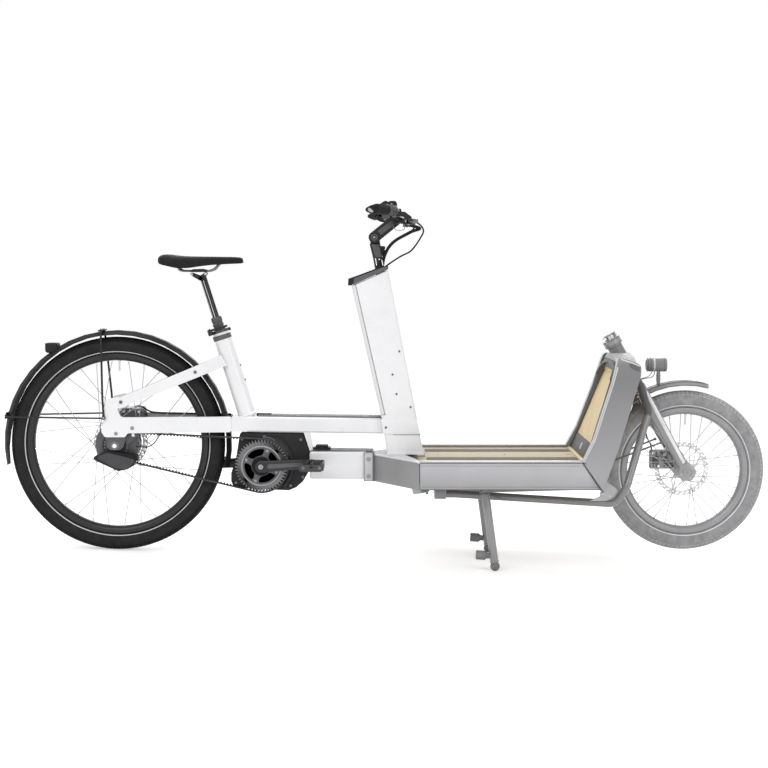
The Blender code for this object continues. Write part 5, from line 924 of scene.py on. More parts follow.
def tapered_end(shape):
    """The rear end of the guard drawn out to a point, as its flap is."""
    for vert in shape.verts:
        offset = level_again @ vert.co - REAR_AXLE
        angle = math.degrees(math.atan2(offset.z, offset.x)) % 360
        share = min(1.0, max(0.0, (angle - 168) / 23)) if angle < 200 else 0.0
        grown = 1 + max(0.0, GUARD_TIP_RADIUS / math.hypot(offset.x, offset.z) - 1) * 0.75 * share
        vert.co = stand_up @ (REAR_AXLE + Vector((offset.x * grown, offset.y * (1 - 0.3 * share), offset.z * grown)))


refined("rear_mudguard", "black_plastic", 0, change=tapered_end)
for node, degrees, straight, radius, eye_y in (("rear_upper_stay", 97.5, 66, 3.6, 90.5),
                                               ("rear_lower_stay", 165.6, 30, 2.8, 95.3)):
    angle = math.radians(degrees)
    foot = STAY_FOOT + LEFT * eye_y / 1000
    reach = REAR_GUARD_RADIUS + radius
    shoulder = around(REAR_AXLE, reach - 14, angle, 40)
    along = Vector((shoulder.x - foot.x, 0, shoulder.z - foot.z)).normalized()
    half = [foot, foot + along * straight / 1000, shoulder, around(REAR_AXLE, reach, angle, 34)]
    wire = half + [Vector((spot.x, -spot.y, spot.z)) for spot in reversed(half)]
    fitted(f"{node}_wire", "black_metal", tube(rounded(wire, 8, closed=False), radius),
           *both_sides(across(foot, -2, 2, 6.6, 24)),
           stands_for=node, smooth=50)
    crown = around(REAR_AXLE, REAR_GUARD_RADIUS, angle)
    out = (crown - REAR_AXLE).normalized()
    turn = Matrix((LEFT.cross(out), LEFT, out)).transposed().to_4x4()
    clip = block((-11, -30, -1), (11, 30, 3.7), 1.8)
    bmesh.ops.transform(clip, matrix=Matrix.Translation(crown) @ turn, verts=clip.verts)
    fitted(f"{node}_clip", "black_plastic", clip)
screws("guard_stay_screws", "bolt_metal", 4.6, 3, LEFT, *(STAY_FOOT + LEFT * y for y in (-0.097, 0.097)))
refined("rear_light", "black_plastic", 1)
fitted("rear_light_lens", "red_lens", block((-1115.2, -22.5, 659), (-1104, 22.5, 687), 2))


# Beams, seat tube and steering mast

def slanted(start, end, low, high, half_width, ease):
    """A strip that follows a line seen from the side."""
    edges = [(start[0], start[1] + low), (end[0], end[1] + low), (end[0], end[1] + high), (start[0], start[1] + high)]
    return prism(edges, -half_width, half_width, ease)


SEAT_LEAN = math.radians(17.4)
seat_axis = Vector((-math.sin(SEAT_LEAN), 0, math.cos(SEAT_LEAN)))
SEAT_FOOT = Vector((-0.4525, 0, 0.4463))
seat_top = SEAT_FOOT + seat_axis * (0.715 - 0.4463) / seat_axis.z

refined("main_beam", "white_paint", 1)
fitted("seat_tube_shell", "white_paint", rod(SEAT_FOOT - seat_axis * 0.004, seat_top, 29, 48),
       turned([(28.5, -12), (30.2, -10), (30.2, -1), (29, 0), (15, 0), (15, -12)], 48, seat_top, seat_axis),
       stands_for="seat_tube", smooth=35)
fitted("seat_tube_weld", "white_paint",
       turned([(28.5, -2), (33.5, -1.5), (33.5, 1), (31, 4), (28.5, 5.2)], 48, SEAT_FOOT + seat_axis * 0.003,
              seat_axis),
       smooth=50)
screws("seat_tube_screws", "dark_steel", 4.2, 3, (1, 0, 0.31),
       *(seat_top - seat_axis * distance + Vector((0.027, 0, 0.008)) for distance in (0.115, 0.165)))
# Painted shade: a grey strip along the main beam's top face.
fitted("beam_top_shade_strip", "band_plastic", slanted((-414, 445.2), (-8, 440), 0.4, 5.5, 30, 1))
fitted("strip_clip", "black_plastic", slanted((-422, 445.6), (-372, 445), 0.8, 8.5, 11, 2.5))
refined("lower_beam", "beam_paint", 1)
fitted("lower_beam_strip", "panel_plastic", slanted((-240, 331.2), (-37, 328.2), -0.2, 4.2, 42, 1.2),
       slot="white_paint")
fitted("charge_plug", "black_plastic", block((-234, -24, 330), (-177, 24, 342), 3.5, 3),
       block((-226, -20, 340), (-185, 20, 349.5), 3.5, 3), bevel=0.6)
fitted("flange_plates", "cover_plate", *both_sides(block((-64, 54, 236.5), (-38, 57.2, 327.5), 1.2)),
       slot="white_paint")
flange_bars = [block((low_x, 54, low_z), (high_x, 57.8, high_z)) for low_x, low_z, high_x, high_z in (
    (-67, 235, -64, 329.5), (-38, 235, -35, 329.5), (-67, 234, -35, 236.8), (-67, 326.8, -35, 330))]
fitted("flange_borders", "strip_plastic", *both_sides(*flange_bars), bevel=0.6)
for _, _, _, heads in each_side():
    heads("flange_screws", "cage_metal", 7.5, 2.8, (-51, 57.2, 308), (-51, 57.2, 251))
fitted("corner_gasket", "dark_strip", block((-35, -54.5, 233), (-32.2, 54.5, 324), 0.8), slot="grey_paint")

MAST_BEND = (-7, 439)
MAST_HEAD = (-106, 877)


def mast_rear(z, inset=0):
    """A corner by the mast's rear face at a height."""
    if z > MAST_BEND[1]:
        x = MAST_BEND[0] + (MAST_HEAD[0] - MAST_BEND[0]) * (z - MAST_BEND[1]) / (MAST_HEAD[1] - MAST_BEND[1])
    else:
        x = MAST_BEND[0] + 17 * (MAST_BEND[1] - z) / (MAST_BEND[1] - 322)
    return x + inset, z


def mast_front(z, inset=0):
    return 13 + 118 * (929 - z) / 607 + inset, z


refined("steering_mast", "white_paint", 1.4, 3)
refined("battery_cover", "cover_paint", 1.4, 3)
seam = [mast_rear(877, 14.6), mast_rear(877, 16.2), mast_rear(453, 16.2), mast_rear(453, 14.6)]
fitted("cover_seam", "strip_plastic", prism(seam, -54.8, 54.8), slot="black_plastic")
PLATE_LOW = 389.5
PLATE_HIGH = 440
for _, _, piece, heads in each_side():
    heads("mast_screws", "dark_steel", 3.6, 1.6, (50, 55, 662), (28, 55, 586), (41, 55, 522), (87, 55, 479))
    band = [mast_rear(PLATE_HIGH, -3), mast_rear(PLATE_LOW, -3), mast_front(PLATE_LOW, 1), mast_front(PLATE_HIGH, -1)]
    piece("beam_plate", "white_paint", prism(band, 54.5, 57.2, 0.8))
    # A grey line under the beam plate's lower edge: a painted shadow.
    (rear, _), (front, _) = mast_rear(PLATE_LOW), mast_front(PLATE_LOW)
    edge = [(rear + 30, PLATE_LOW - 2.2), (front + 2, PLATE_LOW - 2.2), (front + 1.5, PLATE_LOW + 0.2),
            (rear + 30, PLATE_LOW + 0.2)]
    piece("plate_edge", "strip_plastic", prism(edge, 54.5, 56.8))
    heads("plate_screw", "dark_steel", 4, 1.6, (6, 57.2, 412))
    piece("mast_foot", "white_paint", prism([mast_rear(330, 2), (129, 330), (132, 320.5), (8.5, 320.5)], 52, 55.6,
                                            0.6))

refined("mast_cap", "cap_plastic", 1.2)
fitted("cap_top_line", "deep_plastic",
       prism([(-116, 893), (-114, 899.2), (-7.5, 938.8), (13.6, 940.2), (14.2, 937.2), (-6, 935)], -56.6, 56.6, 1))
fitted("cap_corner", "black_plastic",
       prism([(-117.5, 877), (-116.5, 899), (-101, 904.2), (-96, 899), (-99, 884), (-106, 876.5)], -57, 57, 1.6))
fitted("cap_skirts", "cap_plastic",
       *both_sides(prism([(-101, 899), (13.6, 940.4), (14.2, 931), (-100, 879)], 55, 56.6, 0.5)))
fitted("cap_trim", "deep_plastic", prism([(-100, 880), (12.8, 929.2), (13.2, 931.8), (-100, 882.6)], -56.4, 56.4,
                                         0.6))
refined("battery", "black_plastic", 1.2)


# Cargo deck

DECK_HALF = 262.5

refined("deck_rear_frame", "corner_paint pale_metal", 1.2, where=lambda place: place.z < 0.2325 and place.x < 0.240)
for side, sign, piece, heads in each_side():
    refined(f"{side}_side_rail", "rail_metal")
    piece("rail_trim", "pale_metal", block((114, 222.8, 321.2), (627, 262.7, 324.2), 0.9))
    piece("rail_lines", "dark_strip", block((114, 261, 317.6), (630, 263.05, 319.4)),
          block((114, 261, 233.6), (688, 263.1, 235.2)))
    piece("mitre_seal", "soft_rubber", prism([(627.5, 322), (630, 322), (692, 233), (689.5, 233)], 260.5, 263.2),
          bevel=0.5)
    shares = [(number + 0.5) / 15 for number in range(15)]
    heads("mitre_rivets", "dark_steel", 2.8, 1.4, *((632 + 62 * share, 262.6, 322 - 89 * share) for share in shares))
    piece("corner_nub", "dark_steel",
          prism([(686, 234), (696, 234), (695, 226), (691.5, 221.5), (688.5, 224)], 250, 261.8, 1.2),
          slot="grey_paint")
    piece("corner_trim", "trim_metal",
          prism([(-34.5, 50.5), (107.5, 263), (113.5, 260), (-25, 48)], 320.5, 323.8, 0.9, plane="XY"))
    piece("corner_plate", "cover_plate",
          prism([(-34, 51), (107.5, 262), (114.5, 262), (115, 224), (70, 56)], 317, 322.4, 0.6, plane="XY"))
    piece("rail_lip", "stand_paint", block((116, 218.5, 315.8), (630, 223.2, 323.8), 0.8), slot="side_paint")

refined("deck_floor", "deck_wood", 1)
fitted("floor_grips", "grip_tape", *both_sides(block((138, 84, 315), (628, 150, 317.6), 0.8)))
screws("floor_screws", "dark_steel", 4.2, 0.8, UP, *((x, y, 316) for x in (180, 400, 610) for y in (-150, 0, 150)))

WALL_FOOT_X = 0.647
WALL_FOOT_Z = 0.316
WALL_LEAN = 0.382


def wall_x(z):
    return WALL_FOOT_X + (z - WALL_FOOT_Z) * WALL_LEAN


def on_wall(outline, back, front, ease=0):
    """A plate that follows the wall's lean: back and front are distances ahead of the wall's rear face."""
    shape = prism(outline, back, front, plane="YZ")
    for vert in shape.verts:
        vert.co.x += wall_x(vert.co.z)
    return softened(shape, ease) if ease else shape


refined("front_wall", "wall_wood", 1)
fitted("kick_plate", "kick_plastic", on_wall([(-218, 319.5), (218, 319.5), (213, 370), (-213, 370)], -3, 0.5, 0.8),
       slot="black_plastic")
fitted("plain_plate", "pale_metal", on_wall([(-6, 334), (24, 334), (24, 354), (-6, 354)], -4.2, -2.5, 0.5),
       slot="bare_metal")
fitted("wall_seal", "wall_wood", block((634, -220, 315), (644, 220, 318.5), 0.8))

POST_LEAN = 0.19
hoop_outer = [(227.5 - POST_LEAN * (z - 322), z) for z in (323, 400, 480, 550)]
hoop_outer += [(178, 583), (164, 604), (138, 618), (100, 626), (40, 631)]
hoop_inner = [(y - 15, z - (8.5 if z > 600 else 6 if z > 570 else 0)) for y, z in hoop_outer]
outer, inner = (rounded(symmetrical(half), radius, 3, closed=False) for half,
                radius in ((hoop_outer, 30), (hoop_inner, 22)))
hoop = on_wall(outer + inner[::-1], -8.5, 0.6)
for vert in hoop.verts:
    if vert.co.z > 0.575 and vert.co.x < wall_x(vert.co.z) - 0.004:
        vert.co.x -= 0.015
fitted("wall_hoop", "hoop_plastic", hoop, bevel=1.2)
tip = symmetrical([(150, 592), (141, 604), (112, 615.5), (60, 620.5)])
fitted("wall_tip", "wall_wood", on_wall(tip, -4, -0.6))

POST_BEND_Z = 0.602


def post_place(z):
    """How far inwards a post's outer face stands at a height."""
    bend = 0.05 - math.sqrt(max(0.0, 0.05**2 - (z - POST_BEND_Z) ** 2)) if z > POST_BEND_Z else 0.0
    return POST_LEAN * (z - 0.322) + bend


def cut(shape, place, normal):
    bmesh.ops.bisect_plane(shape, geom=shape.verts[:] + shape.edges[:] + shape.faces[:], plane_co=place,
                           plane_no=normal)


def on_post(outline, start, end):
    """A plate that follows a front post's lean, drawn between two depths in from its outer face."""
    shape = prism(outline, DECK_HALF - end, DECK_HALF - start)
    for step in range(6):
        cut(shape, (0, 0, POST_BEND_Z + 0.008 * step), UP)
    for face in shape.faces:
        face.material_index = int(face.normal.x < -0.3 and abs(face.normal.y) < 0.3)
    for vert in shape.verts:
        vert.co.y -= post_place(vert.co.z)
    return shape


post_top = rounded([(806, 560), (816, 590), (819, 626), (790, 638), (748, 650), (741, 625), (726, 571)], 16, 5,
                   closed=False)
post_outline = [(628.5, 322), (690.5, 233), (741, 361), *post_top, (664, 390)]
POST_BORDERS = (
    ("rear", "cover_plate", [(629.8, 322), (665.2, 389.8), (727, 570.6), (741.2, 620), (745.8, 619), (731.2, 569.4),
                             # The pale top border is a painted highlight along the post's top edge.
                             (669, 388), (633, 320.8)]),
    ("top", "cover_plate", [(756, 645), (790, 635), (815, 624.5), (814, 620.5), (789, 630.5), (756, 640.5)]),
    ("dark", "hoop_plastic", [(782, 632.5), (813, 619.5), (812, 605), (792, 612), (780, 623)]),
)
for side, sign, piece, heads in each_side():
    piece("front_post_finish", "post_paint cover_plate", on_post(post_outline, 0, 34),
          stands_for=f"{side}_front_post",
          bevel=2.5, steps=3)
    for part, look, outline in POST_BORDERS:
        piece(f"post_{part}_border", look, on_post(outline, -0.7, 1), bevel=0.3)


def two_tone_cover(shape):
    """The lower part of the cover's rear face carries on the dark hoop."""
    cut(shape, stand_up @ Vector((0.75, 0, 0.634)), stand_up.to_3x3() @ UP)
    for face in shape.faces:
        place = level_again @ face.calc_center_median()
        face.material_index = int(place.x < 0.7485 and place.z < 0.634)


refined("top_cover", "pale_plastic hoop_plastic", 6, 4, slot="light_cover", change=two_tone_cover)
refined("head_tube", "post_paint", 1.2)
refined("stand_bracket", "corner_paint", 1)
fitted("cable_box", "stand_paint", block((165.1, -60.9, 175.2), (204.6, 60.9, 208), 4.5),
       *(rod((x, -32, 208), (x, -32, low), 4.8, 20) for x, low in ((125, 193), (142, 188))), slot="grey_paint")
for side, sign in SIDES:
    stitches = []
    for step in range(13):
        share = (step + 0.5) / 13
        middle = Vector((0.626 + 0.059 * share, sign * 0.2624, 0.3205 - 0.088 * share))
        stitches.append(block((-4.2, -0.7, -1.5), (4.2, 0.7, 1.5), 0.3))
        bmesh.ops.transform(stitches[-1], matrix=Matrix.Translation(middle) @ Matrix.Rotation(math.radians(34), 4,
                                                                                              "Y"),
                            verts=stitches[-1].verts)
    fitted(f"{side}_mitre_stitches", "kick_plastic", *stitches)


# Handlebar, stem and controls

def beside_axis(place, foot, axis):
    """The part of a place that stands off the line through foot."""
    offset = place - foot
    return offset - axis * offset.dot(axis)


def slimmer_collar(shape):
    """The column's collar drawn in to the width of the column."""
    for vert in shape.verts:
        place = level_again @ vert.co
        out = beside_axis(place, COLUMN_TOP, COLUMN_AXIS)
        if 0.940 < place.z < 0.976 and out.length > 0.0166:
            vert.co = stand_up @ (place - out * (1 - 0.016 / out.length))


refined("steering_column", "black_metal pale_metal", 0.8, where=lambda place: place.z < 0.3, change=slimmer_collar)
on_column("stem_sleeve", "black_metal",
          prism([(-29.2, 939.5), (0.6, 939.5), (-13, 1014), (-48, 1014)], -16.8, 16.8, 4, 3), bevel=0.4)
# Lighter plates on the stem's sides: a painted reflection band.
on_column("stem_faces", "arm_metal",
          *both_sides(prism([(-29, 969), (-8.5, 969), (-17.5, 1010.5), (-40.5, 1010.5)], 16, 17.8, 1)))
# The bright rods low on the stem's sides are painted highlights; the small dome is a bolt head.
on_column("stem_bolts", "bright_steel",
          *both_sides(rod((-24, 16.5, 942), (-28, 16.5, 965), 1.9, 10),
                      rod((-3.5, 16.5, 942), (-7.5, 16.5, 960), 1.9, 10),
                      turned([(0, 0), (3, 0), (3, 2), (0, 2.4)], 16, (-15, 16.5, 962))), smooth=50)
on_column("stem_latch", "deep_plastic", prism([(-15, 948), (-9, 948), (-11, 967), (-17.5, 967)], -18.6, 18.6, 0.8))
on_column("stem_connector", "black_plastic",
          *(block((-14, -11, z), (4.2, 11, z + 8.5), 1.8, 3) for z in (974.5, 985, 995.5)),
          block((-15, -9.5, 973), (1.8, 9.5, 1005.5), 1.2))

refined("stem_arm", "black_metal", 1.2)
arm_line = (BAR_CENTRE - STEM_PIVOT).normalized()
arm_side = Vector((-arm_line.z, 0, arm_line.x))
arm_face = [(STEM_PIVOT + (arm_line * distance + arm_side * offset) / 1000).xz
            for distance, offset in ((21, -8), (78, -9.5), (84, 6), (21, 9.5))]
on_bar("arm_faces", "arm_metal", *both_sides(prism(arm_face, 19.4, 20.8, 1.2)))
on_bar("pivot_discs", "black_metal",
       *both_sides(turned([(0, 19), (18.6, 19), (18.6, 21.2), (17.6, 22.2), (11.8, 22.2), (11.2, 21), (7.8, 21),
                           (7.4, 22.6), (0, 22.8)], 40, STEM_PIVOT)))
on_bar("pivot_rings", "dark_steel",
       *both_sides(turned([(8.2, 20.5), (10.8, 20.5), (10.6, 22.6), (8.4, 22.6)], 40, STEM_PIVOT)), slot="bare_metal")
for _, _, _, heads in each_side("handlebar_assembly"):
    heads("pivot_screw", "bolt_metal", 4, 1.2, STEM_PIVOT + LEFT * 0.0226)
release = [(14, 1093), (4, 1090.5), (-5, 1092), (-12.5, 1096.5), (-16.5, 1103.5), (-21.5, 1106), (-25.5, 1103),
           (-25, 1096), (-20.5, 1089), (-10, 1084.5), (2, 1083)]
on_bar("angle_lever", "black_plastic", prism(release, -6, 6, 1.6, corner=3, arc=3))

refined("handlebar", "black_metal", slot="black_plastic")
boss = [(11.2, -13), (17.5, -13), (18.5, -11), (18.5, 11), (17.5, 13), (11.2, 13)]
on_bar("bar_bosses", "black_metal", *(turned(boss, 36, BAR_CENTRE + LEFT * y) for y in (-0.0335, 0.0335)))

hood = [(-12.5, 1129), (10, 1122.5), (20, 1122.5), (15, 1148.5), (6.6, 1152.7), (3.4, 1152.7), (-13.5, 1142.5)]
case = [(12, 1122.5), (40, 1120), (42.8, 1126), (42.8, 1144), (39.2, 1151), (33, 1152.7), (20.5, 1152.4), (12, 1149)]
foot = [(30, 1106), (58, 1106), (56, 1121.5), (33, 1124)]
on_bar("display_case", "black_plastic", prism(hood, -28.5, 28.5, 1.2, corner=2, arc=2),
       prism(case, -23, 23, 2, corner=3, arc=3), prism(foot, -12.5, 12.5, 1.2, corner=3, arc=2), stands_for="display")
on_bar("display_screen", "screen_glass", prism([(-11, 1144.4), (1, 1152), (1.4, 1151.2), (-10.6, 1143.6)], -24.5,
                                               24.5),
       bevel=0.2)
on_bar("display_seam", "strip_plastic", block((19, -21.5, 1129), (43.2, -23.2, 1131), 0.4),
       block((19, 21.5, 1129), (43.2, 23.2, 1131), 0.4), slot="black_plastic")
on_bar("display_buttons", "grey_plastic",
       *(rod((24, y, 1140.5), (24, y * 1.015, 1140.5), 4.5, 20) for y in (-23.2, 23.2)), bevel=0.4)

bar_bend = Vector((0.028, 0.190, 1.115))
grip_line = (Vector((-0.024, 0.330, 1.117)) - bar_bend).normalized()
PALM_END = [(-58, 1113), (-56, 1118), (-46, 1124.5), (-30, 1130), (-18, 1132.5), (-12, 1120), (-18, 1104),
            (-33, 1099),
            (-48, 1104), (-56, 1108.5)]


def palm_rest():
    """The outer half of a grip, drawn from its round middle to its wide, flat end."""
    shape = turned([(0, 48), (16, 48), (16.6, 50), (16.6, 64), (0, 64)], 36, bar_bend, grip_line)
    centre = Vector((-0.033, 1.116))
    for share, middle_x, y in ((0.94, -0.033, 0.3344), (1, -0.033, 0.331), (1, -0.033, 0.32), (0.8, -0.015, 0.295)):
        for corner in rounded(PALM_END, 6, 3):
            off = (corner - centre) * share
            shape.verts.new((middle_x + off.x, y, centre.y + off.y))
    hull = bmesh.ops.convex_hull(shape, input=shape.verts)
    bmesh.ops.delete(shape, geom=verts_in(hull["geom_interior"]), context="VERTS")
    return shape


for side, sign, piece, heads in each_side("handlebar_assembly"):
    piece("grip_finish", "soft_rubber", palm_rest(), stands_for=f"{side}_grip", smooth=50)
    piece("grip_sleeve", "sleeve_rubber",
          turned([(11.2, -4), (17.2, -4), (18, -2), (17.8, 56), (16.8, 62), (11.2, 62)], 36, bar_bend, grip_line))
    rib = [(16.5, -1.2), (18.3, -0.6), (18.3, 0.6), (16.5, 1.2)]
    piece("grip_ribs", "soft_rubber",
          *(turned(rib, 36, bar_bend + grip_line * (0.008 + 0.0085 * step), grip_line) for step in range(6)),
          smooth=50)
    piece("grip_plug", "pale_plastic",
          prism([(-50, 1111), (-44, 1106), (-35, 1103.5), (-32, 1108), (-38, 1114), (-44, 1119), (-49, 1118)], 332,
                335.2, 0.8, corner=3, arc=3), slot="grip_rubber")
    refined(f"{side}_brake_lever", "black_metal", 1.6, 3)
    piece("reservoir_lid", "dark_steel",
          prism([(60, 93), (69, 92), (74, 144), (65, 145)], 1104.5, 1108.5, 1.2, plane="XY"))
    screws(f"{side}_lid_screws", "bright_steel", 2.8, 1.2, UP, (65.5, sign * 100, 1108.5), (69, sign * 137, 1108.5),
           body="handlebar_assembly")
    piece("lever_pin", "steel", rod((78, 160, 1070), (78, 160, 1095), 4, 18), bevel=0.5)
    piece("hose_nut", "steel", rod((61.8, 90.5, 1100.1), (64, 80, 1098.5), 5.2, 6),
          rod((50, 164, 1099), (66, 164, 1094), 3.2, 12), bevel=0.4)
    piece("switch_pod", "black_plastic", block((22, 102, 1098), (56, 126, 1124), 5, 3),
          block((30, 106, 1090), (48, 122, 1100), 3, 3))
    piece("switch_keys", "pale_plastic", *(rod((21.5, y, 1112), (23.2, y, 1112), 3.2) for y in (110, 118)), bevel=0.3)

on_bar("cable_adjusters", "steel", rod((56, -66, 1096), (80, -74, 1088), 4, 14),
       rod((56, 66, 1096), (76, 72, 1087), 3.6, 14),
       rod((64, -42, 1088), (76, -44, 1083), 4.6, 14), bevel=0.6)
on_bar("bar_clamps", "black_plastic", block((44, -80, 1080), (66, -56, 1101), 3, 3),
       block((44, 56, 1080), (64, 78, 1101), 3, 3))

hose_bundle = [(52, -40, 1090), (71.3, -46, 1076.5), (92.4, -46, 1070.4), (113, -42, 1065), (116, -38, 1060.5),
               (93.1, -34, 1053.2), (71.3, -30, 1042.3), (38.3, -24, 1023.8), (16.2, -18, 1002), (3, -13, 976),
               (-2, -10, 958), (-4, -8, 942)]
single_hose = [(62, -89.2, 1100), (82.2, -82, 1088.5), (111.6, -68, 1077.3), (128.1, -56, 1056.8),
               (118.8, -46, 1031.4),
               (89.4, -34, 990.8), (56.4, -24, 972.7), (27.1, -16, 954.2), (6, -12, 939), (0, -11, 934)]
far_hose = [(62, 89.2, 1100), (80, 70, 1090), (96, 30, 1076), (98, 0, 1064), (86, -20, 1052), (64, -26, 1040),
            (38.3, -22, 1023.8)]
# The hoses are one piece that rides on no body
hoses = clad("control_hoses_finish", joined([tube(smooth_route(route, 4), radius) for route, radius in (
    (hose_bundle, 5.2), (single_hose, 2.7), (far_hose, 2.7))]), ["hose_rubber"])
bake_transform(hoses)
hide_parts("control_hoses")
loop = [(30, -20, 1070), (32, -24, 1064), (40, -30, 1057.5), (49.2, -34, 1055.2), (60, -36, 1057.5),
        (67.3, -38, 1062),
        (66, -42, 1074)]
on_bar("thin_loop", "faded_rubber", tube(smooth_route(loop, 3), 1.2, 8), smooth=180)


# Saddle and seat post

# Sections across the saddle: x, top, bottom and half width
SADDLE_SECTIONS = (
    (-740, 964, 956, 34), (-737, 972, 948, 52), (-725, 978, 943, 68), (-705, 978.8, 939, 76), (-685, 976, 934, 78),
    (-665, 973.5, 931, 74), (-645, 972.2, 933, 66), (-620, 971.6, 937, 53), (-590, 971.2, 941, 40),
    (-555, 970.8, 944, 30), (-520, 970.4, 946, 24.5), (-490, 969.8, 947, 21.5), (-470, 968.5, 948, 18),
    (-463, 964, 950, 12),
)
# Half of a section, as shares of its half width and height: a domed top, and a skirt that turns in below
SADDLE_HALF = [(0, 1), (0.35, 0.995), (0.66, 0.95), (0.86, 0.83), (0.96, 0.68), (1, 0.52), (0.97, 0.20), (0.92, 0),
               (0.84, 0.02), (0.74, 0.22), (0.50, 0.34), (0, 0.36)]

saddle_shape = bmesh.new()
loops = []
for x, top, bottom, half_width in SADDLE_SECTIONS:
    section = SADDLE_HALF + [(-side, height) for side, height in SADDLE_HALF[-2:0:-1]]
    loops.append([saddle_shape.verts.new(at((x, half_width * side, bottom + (top - bottom) * height)))
                  for side, height in section])
edges = [[saddle_shape.edges.new(pair) for pair in zip(verts, verts[1:] + verts[:1])] for verts in loops]
for rear_edges, front_edges in zip(edges, edges[1:]):
    bmesh.ops.bridge_loops(saddle_shape, edges=rear_edges + front_edges)
for verts in (loops[0], loops[-1]):
    bmesh.ops.contextual_create(saddle_shape, geom=verts)
saddle_cover = on_seat("saddle_cover", "saddle_leather", saddle_shape, stands_for="saddle", finer=2)

rail = [(-696, 33, 950), (-679, 28, 942), (-670, 22.5, 927), (-658, 22, 924), (-608, 22, 923.5), (-572, 22, 924),
        (-556, 20, 930), (-542, 13, 946), (-530, 10, 952)]
on_seat("saddle_rails", "dark_steel", *both_sides(tube(rounded(rail, 10, closed=False), 3.7, 14)), smooth=60)
on_seat("saddle_screws", "dark_steel", *both_sides(ring(2.2, 4.4, 0, 2.2, 20, (-723, 60, 960), (-0.55, 0.83, 0))),
        slot="bare_metal", smooth=50)

on_seat("seat_post_tube", "post_gloss",
        turned([(0, -90), (11.7, -90), (11.7, 196), (10.5, 200), (0, 200)], 48, seat_top, seat_axis),
        stands_for="seat_post", smooth=35)
across_post = Vector((seat_axis.z, 0, -seat_axis.x))


def by_post(radius, height, turn=0.0):
    """A place beside the seat tube's top; the turn runs from straight ahead towards the left."""
    out = across_post * math.cos(turn) + LEFT * math.sin(turn)
    return seat_top + (seat_axis * height + out * radius) / 1000


# Thin bright rods along the seat post: painted reflections.
on_seat("post_lines", "steel",
        *both_sides(*(rod(by_post(11.2, -20, turn), by_post(11.2, 186, turn), radius, 10)
                      for turn, radius in ((math.radians(142), 1),
                                           (math.radians(96), 1.2)))), slot="dark_metal", smooth=60)

clamp_half = prism([(-636, 920), (-579, 920), (-578, 926), (-595, 931), (-624, 930), (-637, 925)], 15, 27.5, 1,
                   corner=3, arc=3)
yokes = [prism(capsule(start, end, 5, 8, 6), -19, 19, 1) for start, end in (
    ((-630, 0, 913), (-602, 0, 900)), ((-586, 0, 915), (-601, 0, 900)))]
on_seat("saddle_clamp", "black_metal", *both_sides(clamp_half), *yokes)
on_seat("clamp_bolts", "bright_steel", *(across(place, -24, 24, 4.6, 20)
                                         for place in ((-631, 0, 912.6), (-586, 0, 915))),
        bevel=0.8)
for _, _, _, heads in each_side("seat"):
    heads("clamp_screws", "steel", 4, 2, (-631, 24, 912.6), (-586, 24, 915))

fitted("seat_collar_finish", "arm_metal",
       turned([(12.8, 16), (19, 16), (19, 23), (17.2, 24.5), (17.2, 30), (19, 31.5), (19, 36), (17, 37.5), (17, 43),
               (18.2, 45), (18.2, 56), (16, 60), (12.8, 60.5)], 40, seat_top, seat_axis),
       turned([(18, 6), (26.8, 6), (28, 7.2), (28, 14.8), (26.2, 16), (18, 16)], 40, seat_top, seat_axis),
       stands_for="seat_collar", bevel=0.4)
LEVER_TURN = math.radians(-138)
lug = by_post(40.5, 12, LEVER_TURN)
fitted("collar_lugs", "black_metal", rod(by_post(22, 12, LEVER_TURN), lug, 5),
       rod(lug - seat_axis * 0.006, lug + seat_axis * 0.006, 8.5, 24),
       rod(lug - seat_axis * 0.004, lug + seat_axis * 0.0168, 2.9, 14),
       rod(by_post(22, 10, 0.25), by_post(35, 10, 0.25), 5.2), bevel=0.6)
fitted("collar_spacer", "white_paint", ring(14, 27, -2, 6.2, 40, seat_top, seat_axis))
fitted("seat_tube_band", "dark_strip",
       turned([(28, -17.5), (30.6, -16.5), (30.6, -1.5), (28, -0.5)], 48, seat_top, seat_axis), slot="dark_metal")
refined("seat_lever", "black_metal", 0.8, slot="bare_metal")


# Fork, lamp, front guard and the tubes round the front wheel

def by_head(distance, offset, y=0):
    """A place along the steering axis from the front axle, and ahead of it."""
    return FRONT_AXLE + (HEAD_AXIS * distance + HEAD_FORWARD * offset + LEFT * y) / 1000


def head_plate(pairs, start, end, ease):
    return prism([by_head(*pair).xz for pair in pairs], start, end, ease)


def lowered_clamp(shape):
    """The clamp above the bearing cup drawn in a little and set forwards."""
    for vert in shape.verts:
        place = level_again @ vert.co
        distance = (place - FRONT_AXLE).dot(HEAD_AXIS)
        if distance > 0.5005:
            out = beside_axis(place, FRONT_AXLE, HEAD_AXIS)
            foot = FRONT_AXLE + HEAD_AXIS * min(distance, 0.5170)
            vert.co = stand_up @ (foot + out * 0.94 + HEAD_FORWARD * 0.003)


def in_caliper(place):
    return 0.880 < place.x < 0.968 and 0.025 < place.y < 0.060 and 0.260 < place.z < 0.332


refined("fork", "fork_paint cage_metal", 1.6, 3, where=in_caliper, change=lowered_clamp)
# Pale strips along the fork legs' front edges: painted highlights.
strip = [(32, 1), (32, 11.5), (200, 15), (300, 15), (300, 4), (200, 3)]
on_fork("fork_leg_strips", "pale_steel", *both_sides(head_plate(strip, 67.2, 69.2, 1)), slot="grey_metal")
disc = [(0, 66), (28.5, 66), (28.5, 69), (26.5, 70.4), (15, 70.4), (14, 72.2), (7, 72.8), (0, 72.8)]
on_fork("fork_axle_discs", "cage_metal", *both_sides(turned(disc, 40, FRONT_AXLE)), slot="grey_metal", bevel=0.4)
for _, _, _, heads in each_side("front_fork"):
    heads("axle_screw", "bolt_metal", 6, 1.4, FRONT_AXLE + LEFT * 0.0724)
    heads("disc_screws", "pale_steel", 2.2, 1, *(around(FRONT_AXLE, 21.5, math.radians(turn), 70)
                                                 for turn in (-60, -20, 35, 200)))

